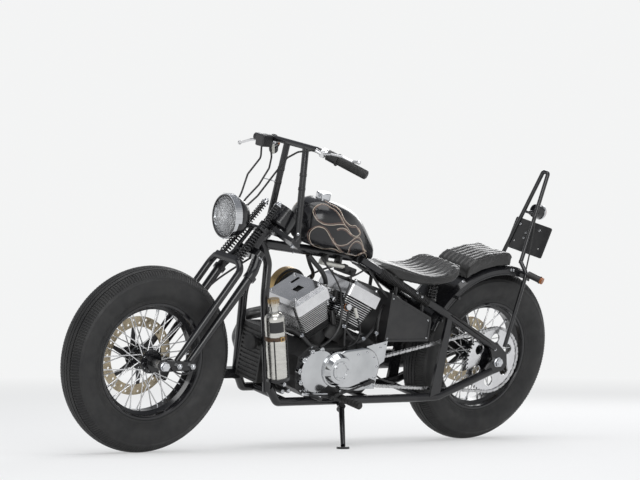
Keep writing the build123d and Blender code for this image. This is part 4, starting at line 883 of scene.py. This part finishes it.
def pleated(mesh, c):
    back, turn = bike.inverted(), bike.to_3x3().normalized().transposed()
    (low, high), slot = c["along"], padding["slot"]
    halfAt = {}
    for vert in mesh.vertices:
        p = back @ vert.co
        halfAt[round(p.x / slot)] = max(halfAt.get(round(p.x / slot), 0), abs(p.y))
    half = padding["pleats"] * c["pitch"] / 2
    moves = []
    for vert in mesh.vertices:
        p, n = back @ vert.co, turn @ vert.normal
        side = halfAt[round(p.x / slot)] - c["margin"]
        share = eased(n.z, 0.35, 0.75) * eased(p.x, low, low + c["fade"])
        share *= 1 - eased(p.x, high - c["fade"], high)
        share *= 1 - eased(abs(p.y), side, side + c["margin"] * 0.55)
        sunk = 0
        if abs(p.y) < half + 1:
            sunk = 1 - abs(math.sin(math.pi * (p.y + half) / c["pitch"])) ** 0.45
        moves.append(vert.normal * (-share * sunk * c["depth"] * 0.001))
    for vert, move in zip(mesh.vertices, moves):
        vert.co += move


def cushion(name, c):
    bm = bmesh.new()
    bm.from_mesh(nodes[name].data)
    bmesh.ops.remove_doubles(bm, verts=bm.verts, dist=0.00002)
    bmesh.ops.recalc_face_normals(bm, faces=bm.faces)
    mesh = bpy.data.meshes.new(name + "_cushion")
    bm.to_mesh(mesh)
    bm.free()
    thing = linked(name + "_cushion", mesh)
    remesh = thing.modifiers.new("remesh", "REMESH")
    remesh.mode, remesh.voxel_size = "VOXEL", padding["voxel"]
    soft = thing.modifiers.new("smooth", "SMOOTH")
    soft.factor, soft.iterations = 0.5, c["smooth"]
    baked(thing)
    normals = [vert.normal.copy() for vert in thing.data.vertices]
    for vert, normal in zip(thing.data.vertices, normals):
        vert.co -= normal * c["shrink"] * 0.001
    puffed(thing, c)
    finer = thing.modifiers.new("finer", "SUBSURF")
    finer.levels = finer.render_levels = 1
    mesh = baked(thing)
    pleated(mesh, c)
    mesh.materials.clear()
    mesh.materials.append(leatherFinish)
    mesh.shade_smooth()
    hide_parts(name)
    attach(thing, "chassis")
    return thing


made = {name: cushion(name, values) for name, values in cushions.items()}
print("cushions ready")


# Fasteners, placed at given spots or on a node's nearest surface
# The socket on top takes the piece's second finish; in the fastener pieces that is near-black
# painted shade
def screwShape(at, way, radius, height):
    at, way = Vector(at), Vector(way).normalized()
    return [rodShape(at, at + way * height, radius, bevel=radius * 0.2),
            rodShape(at + way * (height - 0.5), at + way * (height + 0.2), radius * 0.5, sides=6,
                     mark=1)]


def nutShape(at, way, radius):
    at, way = Vector(at), Vector(way).normalized()
    washer, top = at + way * radius * 0.15, at + way * radius * 0.85
    dome = [(radius * 0.86 * math.cos(t * math.pi / 12),
             radius * (0.7 + 0.7 * math.sin(t * math.pi / 12))) for t in range(6)]
    return [rodShape(at, washer, radius * 1.3, sides=20),
            rodShape(washer, top, radius * 1.08, sides=6, bevel=radius * 0.06),
            spinShape([*dome, (0, radius * 1.4)], at, way, 16)]


trees = {}


def onSurface(name, spot, place=bike):
    if name not in trees:
        trees[name] = surfaceOf(nodes[name], place)
    return trees[name].find_nearest(Vector(spot))[:2]


def screwOn(name, spot, radius, height, place=bike):
    at, way = onSurface(name, spot, place)
    return screwShape(at - way * 0.6, way, radius, height + 0.6)


def screwsOn(table, place=bike):
    shapes = []
    for name, radius, height, spots in table:
        for spot in spots:
            shapes += screwOn(name, spot, radius, height, place)
    return shapes


def ring(middle, radius, first, step, count):
    x, y, z = middle
    turns = [math.radians(first + step * number) for number in range(count)]
    return [(x + radius * math.cos(turn), y, z + radius * math.sin(turn)) for turn in turns]


engineBolts = {
    # Across the bore, along the crankshaft, up the bore
    "head": ((-58, 58), (-72, 72), 325.8),
    "finStuds": ((-70, 70), (-60, -20, 20, 60), 262),
    # Screws that stand on a flat side: spots, radius, height
    "onCovers": [(ring((100, 131.8, -20), 80, -95.04, 31.68, 7), 5.6, 4),
                 (ring((13, 167.8, -12), 31, 22.9183, 72, 5), 3.2, 2.2)],
    # Node, radius, height, spots
    "screws": [
        ("left_engine_cover", 4.4, 3, ring((-105, 148, -14), 68, 62, 36, 7)),
        ("left_engine_cover", 4.4, 3, [(-192, 125, -84), (-196, 125, 66), (-216, 125, 78),
                                       (-160, 125, 78)]),
        ("air_cleaner", 3.6, 3, ring((45, -206, 218), 68, 40, 60, 6)),
    ],
}


def engineDetails(e):
    shapes = []
    for tilt in bankTilt.values():
        overs, ys, high = e["head"]
        for over in overs:
            for y in ys:
                shapes += screwShape(*inBank(tilt, over, y, high), 4.6, 4)
        overs, ys, high = e["finStuds"]
        for over in overs:
            for y in ys:
                at, up = inBank(tilt, over, y, high)
                shapes.append(rodShape(at, at - up * 14, 4.5, sides=6))
    for spots, radius, height in e["onCovers"]:
        for spot in spots:
            shapes += screwShape(spot, leftward, radius, height)
    return shapes + screwsOn(e["screws"])


# Plug, leads, coils, intake, carburettor and the hoses round the engine
engineTrim = {
    # Radius, sides, points
    "tubes": [
        (4.6, 8, [(-12, 60, 262), (-2, 92, 220), (4, 106, 175), (10, 110, 137), (36, 112, 99),
                  (83, 113, 69), (119, 113, 54)]),
        (4.2, 8, [(-34, 92, 214), (-24, 110, 182), (-15, 114, 147), (-18, 115, 108),
                  (-25, 114, 70)]),
        (3.2, 8, [(-81, 98, 172), (-90, 106, 150), (-93, 114, 125), (-85, 115, 92),
                  (-66, 115, 74), (-42, 114, 66)]),
        (3.8, 8, [(92, -92, 205), (70, -104, 240), (30, -70, 300), (10, -30, 330), (8, 20, 352)]),
        (3.8, 8, [(-60, 34, 350), (-50, 70, 320), (-22, 84, 270), (-14, 80, 232),
                  (-24, 84, 214)]),
        (9, 12, [(150, 34, 398), (120, 46, 368), (86, 52, 340), (50, 40, 300), (24, 10, 262),
                 (18, 0, 236)]),
        (7, 12, [(120, -10, 392), (96, -16, 352), (60, -30, 320), (30, -60, 290),
                 (20, -96, 262)]),
        (3.4, 8, [(100, 52, 392), (70, 66, 352), (30, 74, 330), (-20, 70, 318), (-80, 60, 330),
                  (-130, 48, 350)]),
        (3.0, 8, [(90, 44, 392), (48, 60, 340), (14, 66, 300), (-10, 68, 262), (-16, 74, 232)]),
        (4.6, 8, [(-120, 30, 372), (-150, 50, 340), (-176, 70, 300), (-200, 84, 268),
                  (-224, 88, 250)]),
        (4.6, 8, [(-222, 70, 214), (-196, 92, 206), (-178, 106, 160), (-186, 104, 110),
                  (-196, 88, 84)]),
        (5.2, 8, [(-222, 52, 150), (-190, 84, 140), (-150, 108, 120), (-118, 112, 92),
                  (-92, 104, 78)]),
        (4.2, 8, [(-100, 96, 84), (-62, 124, 96), (-22, 116, 128), (0, 96, 172), (6, 60, 196)]),
        (8, 10, [(250, 40, 118), (214, 74, 132), (168, 98, 104), (140, 106, 76), (118, 104, 62)]),
        (8, 10, [(252, -40, -60), (214, -62, -74), (186, -60, -62), (166, -40, -50)]),
        (3.6, 8, [(-176, 96, -20), (-196, 120, -44), (-240, 122, -66), (-300, 118, -78)]),
    ],
    # Start, end, radius, tip, sides, bevel, finish
    "rods": [
        ((-24, 62, 206), (-26, 92, 213), 7, None, 14, 0, 1),
        ((-26, 90, 213), (-27, 100, 215), 14, None, 24, 1.5, 4),
        ((-22, 98, 216), (-22, 112, 219), 12.5, None, 28, 3, 1),
        ((-74, 84, 208), (-81, 98, 172), 6.5, None, 16, 1.5, 3),
        ((74, 52, 371), (-14, 52, 359), 6, None, 16, 1, 3),
        ((-16, 30, 216), (-16, 30, 262), 12, None, 20, 2, 5),
        ((14, 34, 236), (14, 62, 236), 9, None, 16, 1, 1),
        ((6, 50, 190), (2, 66, 140), 10, None, 16, 1, 0),
        ((18, -84, 215), (18, 24, 215), 19, None, 28, 2, 1),
        ((22, -136, 216), (34, -159, 218), 27, None, 28, 0, 5),
        ((18, -112, 182), (18, -112, 168), 20, 15, 24, 0, 5),
        ((18, -112, 250), (18, -112, 262), 16, 13, 24, 0, 1),
    ],
    # Middle, size, bevel, degrees about y, finish
    "boxes": [
        ((32, 40, 364), (96, 22, 16), 3, -8, 2),
        ((26, 12, 362), (90, 20, 20), 3, -8, 2),
        ((-30, 38, 356), (18, 22, 16), 2, 0, 0),
        ((-58, 12, 338), (58, 66, 30), 4, -14, 0),
        ((62, 24, 384), (12, 34, 34), 2, 0, 0),
        ((-6, 24, 378), (12, 34, 34), 2, 0, 0),
        ((18, -112, 215), (58, 52, 66), 5, 0, 5),
    ],
    "clamps": [(-184, 104, 112), (-118, 111, 93), (-12, 112, 142), (172, 97, 106),
               (126, 105, 66)],
}


def turnedY(degrees):
    return Matrix.Rotation(math.radians(degrees), 4, "Y")


def enginePlumbing(e):
    shapes = tubesFrom(e["tubes"]) + [rodShape(*row) for row in e["rods"]]
    for middle, size, bevel, degrees, mark in e["boxes"]:
        shapes.append(boxShape(middle, size, bevel, turnedY(degrees), mark))
    for x, y, z in e["clamps"]:
        shapes.append(rodShape((x, y - 5, z - 3), (x + 4, y + 4, z + 5), 7.4, sides=14, mark=1))
    return shapes


piece("engine_fasteners", engineDetails(engineBolts), [chrome, recessShadeAndDial], "chassis")
piece("engine_leads", enginePlumbing(engineTrim),
      [blackSatin, chrome, zinc, whitePlastic, orangePlastic, castBlack], "chassis")


# Frame: screws, the tank's and signals' nuts, the shift rod, and a cord round the left stay
frameTrim = {
    "stay": ((-100, 42, 384), (-500, 121, 192)),
    "stayScrews": ((-351, 105, 270), (-374, 111, 256)),
    "screws": [
        ("plate_holder", 5, 3.5, [(-989, -65, 501), (-989, 46, 501)]),
        ("plate_holder", 4.4, 3.5, [(-981, -21, 476), (-976, -22, 456)]),
        ("rear_fender", 5, 3.5, [(-599, 80, 306), (-599, -80, 306), (-823, 97, 357),
                                 (-836, 97, 356)]),
        ("frame_axle_plates", 6, 4, [(-775, y, z) for y in (134, -134) for z in (52, -44)]),
        ("left_foot_control", 4.5, 3.5, [(-20, 150, -104), (-60, 134, -110)]),
        ("left_foot_control", 4.5, 3, [(118, 190, -104)]),
        ("crankcase", 5, 4, [(150, 112, -100), (60, 112, -112), (-40, 112, -104),
                             (-130, 112, -100), (-196, 112, 40)]),
        ("radiator", 4, 3, [(262, 60, 120), (262, -60, 120)]),
        ("frame_neck", 5, 4, [(208, 13, 404), (206, -16, 404)]),
        ("battery_box", 3.6, 2.6, [(x, y, z) for x, z in ((-234, 95), (-234, 250), (-425, 164),
                                                          (-430, 95)) for y in (113, -113)]),
    ],
    "posts": ((226, -76), (230, -103), (202, -100)),
    "shiftRod": ((151, 130, -108), (35, 130, -110), 6),
    "nuts": [((-40, 138, -158), 1, 7), ((-886, 127, 348), 1, 6), ((-886, -127, 348), -1, 6)],
    "wrap": {"start": (-187, 60, 341), "end": (-414, 104.6, 232), "radius": 17.2, "turns": 38,
             "each": 8, "cord": 2.0},
    "lines": [
        (3.2, 8, [(-520, 140, 190), (-600, 146, 150), (-690, 146, 104), (-752, 142, 74),
                  (-770, 124, 40)]),
        (3.6, 8, [(-490, -100, 150), (-560, -120, 110), (-660, -126, 60), (-730, -110, 40)]),
        (3.0, 8, [(-972, 6, 562), (-952, 40, 556), (-945, 56, 530), (-928, 76, 480),
                  (-905, 96, 410), (-890, 108, 360)]),
    ],
}


def helixPoints(w):
    start, end = Vector(w["start"]), Vector(w["end"])
    way = (end - start).normalized()
    side = way.orthogonal().normalized()
    other = way.cross(side)
    count = w["turns"] * w["each"]
    turns = [math.tau * n / w["each"] for n in range(count + 1)]
    return [start.lerp(end, n / count) + side * w["radius"] * math.cos(turn)
            + other * w["radius"] * math.sin(turn) for n, turn in enumerate(turns)]


def frameDetails(f):
    start, end = (Vector(spot) for spot in f["stay"])
    stayWay = (end - start).normalized()
    shapes = screwsOn(f["screws"])
    for spot in f["stayScrews"]:
        foot = start + stayWay * (Vector(spot) - start).dot(stayWay)
        out = (Vector(spot) - foot).normalized()
        shapes += screwShape(foot + out * 14.5, out, 4.6, 4)
    for x, z in f["posts"]:
        shapes.append(rodShape((x, 40, z), (x, 106, z), 9, sides=20, mark=2))
        shapes += nutShape((x, 106, z), leftward, 6)
    for at, side, radius in f["nuts"]:
        shapes += nutShape(at, leftward * side, radius)
    return shapes + [rodShape(*f["shiftRod"])]


def frameLines(f):
    wrap = f["wrap"]
    return [tubeShape(helixPoints(wrap), wrap["cord"], 6, 1, 2)] + tubesFrom(f["lines"])


piece("frame_fasteners", frameDetails(frameTrim), [chrome, recessShadeAndDial, blackSatin], "chassis")
piece("frame_lines", frameLines(frameTrim), [rubber], "chassis")


# Bottle: blank label, ribs on the cap and a brass buckle on its strap
def bottleTrim(b):
    front = (leftward - bottleWay * bottleWay.y).normalized()
    side = bottleWay.cross(front)
    low, high = b["label"]
    wide = 2 * (b["labelRadius"] + 0.2) * math.tan(math.radians(b["labelStep"] / 2))
    shapes = []
    for number in range(b["labelSteps"]):
        turn = math.radians(b["labelFrom"] + b["labelStep"] * number)
        out = front * math.cos(turn) + side * math.sin(turn)
        middle = bottleFoot + bottleWay * (low + high) / 2 + out * b["labelRadius"]
        shapes.append(boxShape(middle, (wide, high - low, 0.5), 0,
                               axesMatrix(bottleWay.cross(out), bottleWay, out)))
    for number in range(b["capRibs"]):
        turn = math.tau * number / b["capRibs"]
        foot = bottleFoot + (front * math.cos(turn) + side * math.sin(turn)) * 20.9
        shapes.append(rodShape(foot + bottleWay * 288, foot + bottleWay * 302, 1.1, sides=5,
                               mark=1))
    buckle = bottleFoot + bottleWay * sum(b["strap"]) / 2
    for out, wide, thick, bevel, mark in ((42, 17, 3, 0.8, 2), (43.4, 10, 2, 0.4, 3)):
        shapes.append(boxShape(buckle + front * out, (wide, wide, thick), bevel,
                               axesMatrix(side, bottleWay, front), mark))
    return shapes


piece("bottle_trim", bottleTrim(bottle), [blackSatin, bronze, brass, tan], "chassis")
print("engine and frame details ready")


# Headlamp: clear fluted lens over the reflector, its bulb and rim, and the gauge's face
glass = {"colour": (0.97, 0.98, 0.99, 1), "rough": 0.02, "index": 1.45, "flutes": 38,
         "depth": 0.0016}


def clearGlass(g):
    material, tree, shader = nodeTree("lens_glass")
    setInputs(shader, Base_Color=g["colour"], Roughness=g["rough"], IOR=g["index"],
              Transmission_Weight=1.0)
    wave = add(tree, "ShaderNodeTexWave", Scale=g["flutes"], Distortion=0.0)
    wave.bands_direction = "Y"
    upright = fork.to_3x3().normalized().inverted().to_euler()
    tree.links.new(coordinates(tree, turn=upright), wave.inputs["Vector"])
    bump(tree, shader, wave.outputs["Fac"], g["depth"])
    return material


# Profiles as (radius, ahead of the rim)
lampProfiles = {
    "lens": [(71.4, -6), (71.4, -2), (66, 0.6), (52, 3.4), (34, 5.6), (16, 6.7), (0, 7),
             (0, 4.6), (16, 4.3), (34, 3.2), (52, 1.0), (66, -2), (69.6, -6), (71.4, -6)],
    "bulb": [(0, -27), (9, -27), (9, -17), (6.5, -13), (0, -12)],
    "rim": [(80.2, -13), (81.6, -13), (82.2, -6), (81.0, 0.0), (79.2, 1.0), (79.2, 0)],
    "seal": [(79.2, 1.0), (76, 2.2), (73.6, 1.6), (72.2, -2)],
}


def lampSpin(l, name, steps=72, mark=0):
    return spinShape(lampProfiles[name], (l["x"], 0, l["z"]), (1, 0, 0), steps, mark)


def lampDetails(l):
    x, z = l["x"], l["z"]
    shapes = [lampSpin(l, "bulb", 24), lampSpin(l, "rim"), lampSpin(l, "seal", mark=1)]
    wide = 2 * 84 * math.tan(math.radians(l["bandStep"] / 2)) + 0.3
    for number in range(l["bandSteps"]):
        turn = math.radians(l["bandFrom"] + l["bandStep"] * number)
        out = Vector((0, math.sin(turn), math.cos(turn)))
        way = Vector((0, math.cos(turn), -math.sin(turn)))
        shapes.append(boxShape(Vector((x - 9, 0, z)) + out * l["bandRadius"], (30, wide, 1.8), 0,
                               axesMatrix(Vector((1, 0, 0)), way, out)))
    return shapes + screwShape((x - 6, 0, z - 80.5), (0, 0, -1), 3.2, 4)


dial = {"rim": [(46, 0.2), (51, 0.2), (51, 1.6), (46, 1.6), (46, 0.2)], "marks": 25, "sweep": 260,
        "outer": 43, "markLong": (4, 8), "needle": 2.2, "needleLong": (8, 36)}


def gaugeDial(d):
    s, e, y = gauge["foot"]
    centre = atFork(s + gauge["face"], e, y)

    def clockWay(turn):
        return forkAhead * math.cos(turn) + leftward * math.sin(turn)
    shapes = [spinShape(d["rim"], centre, forkAlong, 48, 1),
              rodShape(centre, centre + forkAlong * 3, 5, sides=20, mark=1)]
    for number in range(d["marks"]):
        way = clockWay(math.radians(d["sweep"] * (number / (d["marks"] - 1) - 0.5)))
        long = d["markLong"][number % 4 == 0]
        foot = centre + forkAlong * 0.4
        shapes.append(rodShape(foot + way * (d["outer"] - long), foot + way * d["outer"], 0.6,
                               sides=4))
    needle, foot = clockWay(d["needle"]), centre + forkAlong * 1.2
    back, ahead = d["needleLong"]
    shapes.append(rodShape(foot - needle * back, foot + needle * ahead, 1.3, 0.5, 6, 0, 2))
    return shapes


piece("headlamp_lens", [lampSpin(lamp, "lens")], [clearGlass(glass)], "fork", fork,
      ["headlamp_glass"])
piece("headlamp_rim", lampDetails(lamp), [chrome, blackGloss], "fork", fork)
piece("gauge_dial", gaugeDial(dial), [whitePlastic, chrome, orangePlastic], "fork", fork)


# Fork, on each side: grease nipples, pinch bolts, nuts and the thin rod under the rocker
forkTrim = {
    "nipples": (684, 741),
    "pinchBolts": ((559, 12), (559, -14)),
    "treeNut": (667, -72, 100),
    "treeScrew": (684, -20, 34),
    "riserScrew": (280, 117, 490),
    "rod": [(672, 134, -4), (690, 135, -22), (722, 135, -28), (756, 135, -20), (772, 134, -4)],
    "hose": [(560, -34, -6), (500, -16, -20), (380, 14, -44), (260, 10, -60), (150, 16, -66)],
    "hoseRadius": 3.8,
    "caliper": (720, -90, 60),
}


def forkDetails(f):
    shapes = []
    for side in (1, -1):
        for x in f["nipples"]:
            shapes.append(rodShape((x, side * 146, 2), (x, side * 153, 2), 2.4, 1.6, 8))
        for s, e in f["pinchBolts"]:
            shapes += [*screwOn("fork_rear_legs", atFork(s, e, side * 112), 4.8, 3.4, fork)]
        (s, e, y), (screwS, screwE, screwY) = f["treeNut"], f["treeScrew"]
        shapes += nutShape(atFork(s, e, side * y), forkAlong * -1, 8)
        shapes += screwOn("fork_top_tree", atFork(screwS, screwE, side * screwY), 5, 4, fork)
        shapes += screwOn("handlebar", mirrored(Vector(f["riserScrew"]), side), 5, 5, fork)
        shapes.append(tubeShape([(x, side * y, z) for x, y, z in f["rod"]], 3.2, mark=2))
    return shapes


def hoseShape(f):
    foot = onSurface("front_caliper", f["caliper"], fork)[0]
    return tubeShape([atFork(*spot) for spot in f["hose"]] + [foot], f["hoseRadius"])


piece("fork_fasteners", forkDetails(forkTrim), [chrome, recessShadeAndDial, blackGloss], "fork", fork)
piece("brake_hoses", [hoseShape(forkTrim)], [rubber], "fork", fork)


# Handlebar: screws, switches and end plugs at the grips, a stay with a tag, clamps on the risers
barTrim = {
    "coverScrews": ((-95, 16), (-95, 52), (-61, 16), (-61, 52)),
    "leverScrew": {1: "clutch_control", -1: "brake_control"},
    "nuts": [((252, -150, 790), (0.2, 0.97, 0.1), 8), ((256, -74, 650), (-1, 0, 0), 6)],
    "tag": ((250, -150, 767), (12, 3, 44), 1.2, 8, 4),
    "stay": ((327, -80, 664), (262, -77, 651), 2.2, None, 10),
    "riser": ((271, 100, 462), (252, 60, 804)),
    "clamps": (651, 702),
    "ribs": {"count": 26, "first": 10, "step": 4.3, "long": 2.4, "radius": 17.4},
}


def barDetails(b):
    shapes = [rodShape(*b["stay"])]
    middle, size, bevel, degrees, mark = b["tag"]
    shapes.append(boxShape(middle, size, bevel, turnedY(degrees), mark))
    for out, ahead in b["coverScrews"]:
        shapes += screwOn("brake_control", atGrip(out, ahead, 37, -1), 2.8, 2.4, fork)
    for nut in b["nuts"]:
        shapes += nutShape(*nut)
    for side, control in b["leverScrew"].items():
        back, out = mirrored(gripAhead, side) * -1, mirrored(gripWay, side)
        tip = atGrip(grip["length"], 0, 0, side)
        for high in (8, -8):
            shapes += screwShape(atGrip(-55, -12, high, side), back, 3.2, 6)
        shapes += screwOn(control, atGrip(-48, 36, 12, side), 5, 4, fork)
        shapes += [
            boxShape(atGrip(-20, -19.5, 6, side), (8, 5, 14), 1.5, mark=2),
            rodShape(atGrip(-26, -17, -8, side), atGrip(-26, -23, -8, side), 4, sides=14, mark=3),
            rodShape(tip - out, tip + out * 3, 13.5, 12, 28, mark=2),
        ]
        low, high = (mirrored(Vector(spot), side) for spot in b["riser"])
        for z in b["clamps"]:
            spot = low.lerp(high, (z - low.z) / (high.z - low.z))
            way = (high - low).normalized() * 6
            shapes.append(rodShape(spot - way, spot + way, 13.6, None, 24, 1, 2))
    return shapes


def gripRibs(r):
    shapes = []
    for side in (1, -1):
        for number in range(r["count"]):
            out = r["first"] + r["step"] * number
            shapes.append(rodShape(atGrip(out, 0, 0, side), atGrip(out + r["long"], 0, 0, side),
                                   r["radius"], sides=28))
    return shapes


piece("bar_fasteners", barDetails(barTrim),
      [chrome, recessShadeAndDial, blackSatin, orangePlastic, whitePlastic], "fork", fork)
piece("grip_ribs", gripRibs(barTrim["ribs"]), [rubber], "fork", fork)
print("fork and bar details ready")


# Piping round the solo seat, laid on its widest edge
piping = {
    "radius": 2.6,
    "reach": 200,
    "line": [(-190, 356), (-230, 351), (-270, 346), (-310, 335), (-350, 326), (-390, 322),
             (-430, 321), (-470, 328), (-510, 341), (-545, 358), (-562, 366)],
}


def pipingShapes(thing, p):
    skin = surfaceOf(thing)
    shapes = []
    for side in (1, -1):
        way = leftward * side
        hits = [skin.ray_cast(Vector((x, 0, z)), way, p["reach"])[0] for x, z in p["line"]]
        row = [hit - way * p["radius"] * 0.3 for hit in hits if hit]
        shapes.append(tubeShape(row, p["radius"], 8, 4))
    return shapes


piece("seat_piping", pipingShapes(made["solo_seat"], piping), [leatherFinish], "chassis")
print("piping ready")


# Floor, world and lamps. The floor shows its shadow and fades into the colour behind it
stage = {
    "seen": (0.90, 0.905, 0.905, 1),
    "above": (0.30, 0.31, 0.33, 1),
    "sky": (0.16, 0.62),
    "glow": (0.42, 0.42, 0.42, 1),
    "catch": (0.46, 0.46, 0.46, 1),
    "fade": (2.6, 7.5),
    "floor": (0.80, 0.80, 0.79, 1),
    "floorRough": 0.75,
    "floorRadius": 60,
    "light": (0.86, 0.89, 0.93, 1),
    "strength": 0.55,
}
lamps = {
    "overhead": {"at": (0.4, 0.6, 4.2), "size": 3.6, "power": 90},
    "side": {"at": (3.2, 4.2, 2.2), "size": 2.4, "power": 75},
    "rear": {"at": (-3.4, -2.2, 2.6), "size": 2.2, "power": 60},
}
lampAim = Vector((0, -0.1, 0.45))


# 1 for rays from the camera, and for what metal and glass show of them
def seenByCamera(tree):
    path = tree.nodes.new("ShaderNodeLightPath")
    total = path.outputs["Is Camera Ray"]
    for ray in ("Is Glossy Ray", "Is Transmission Ray"):
        either = tree.nodes.new("ShaderNodeMath")
        either.operation = "MAXIMUM"
        tree.links.new(total, either.inputs[0])
        tree.links.new(path.outputs[ray], either.inputs[1])
        total = either.outputs[0]
    return total


def mixed(tree, factor, one, other):
    pick = tree.nodes.new("ShaderNodeMixShader")
    for socket, source in zip(pick.inputs, (factor, one, other)):
        tree.links.new(source, socket)
    return pick.outputs[0]


def makeStage(s):
    material, tree, shader = nodeTree("floor")
    setInputs(shader, Base_Color=s["floor"], Roughness=s["floorRough"])
    catch = add(tree, "ShaderNodeBsdfDiffuse", Color=s["catch"])
    glow = add(tree, "ShaderNodeEmission", Color=s["glow"], Strength=1.0)
    far = add(tree, "ShaderNodeEmission", Color=s["seen"], Strength=1.0)
    near = tree.nodes.new("ShaderNodeAddShader")
    tree.links.new(catch.outputs[0], near.inputs[0])
    tree.links.new(glow.outputs[0], near.inputs[1])
    reach = tree.nodes.new("ShaderNodeVectorMath")
    reach.operation = "LENGTH"
    tree.links.new(coordinates(tree), reach.inputs[0])
    fade = between(tree, reach.outputs["Value"], 0, 1, *s["fade"])
    shown = mixed(tree, fade, near.outputs[0], far.outputs[0])
    whole = mixed(tree, seenByCamera(tree), shader.outputs[0], shown)
    tree.links.new(whole, tree.nodes["Material Output"].inputs["Surface"])
    bm = bmesh.new()
    bmesh.ops.create_circle(bm, cap_ends=True, segments=64, radius=s["floorRadius"])
    mesh = bpy.data.meshes.new("floor")
    bm.to_mesh(mesh)
    bm.free()
    mesh.materials.append(material)
    linked("floor", mesh)


def makeWorld(s):
    world = bpy.data.worlds.new("studio")
    bpy.context.scene.world = world
    world.use_nodes = True
    tree = world.node_tree
    lit = tree.nodes["Background"]
    setInputs(lit, Color=s["light"], Strength=s["strength"])
    seen = add(tree, "ShaderNodeBackground", Strength=1.0)
    way = tree.nodes.new("ShaderNodeTexCoord")
    split = tree.nodes.new("ShaderNodeSeparateXYZ")
    tree.links.new(way.outputs["Generated"], split.inputs[0])
    low, high = s["sky"]
    sky = ramp(tree, split.outputs["Z"], (low, s["seen"][:3]), (high, s["above"][:3]))
    tree.links.new(sky, seen.inputs["Color"])
    whole = mixed(tree, seenByCamera(tree), lit.outputs[0], seen.outputs[0])
    tree.links.new(whole, tree.nodes["World Output"].inputs["Surface"])


makeStage(stage)
makeWorld(stage)
for name, l in lamps.items():
    light = bpy.data.lights.new(name, "AREA")
    light.size, light.energy = l["size"], l["power"]
    linked(name, light).matrix_world = aimed(Vector(l["at"]), lampAim)
bpy.context.scene.view_settings.view_transform = "Standard"
print("stage ready")
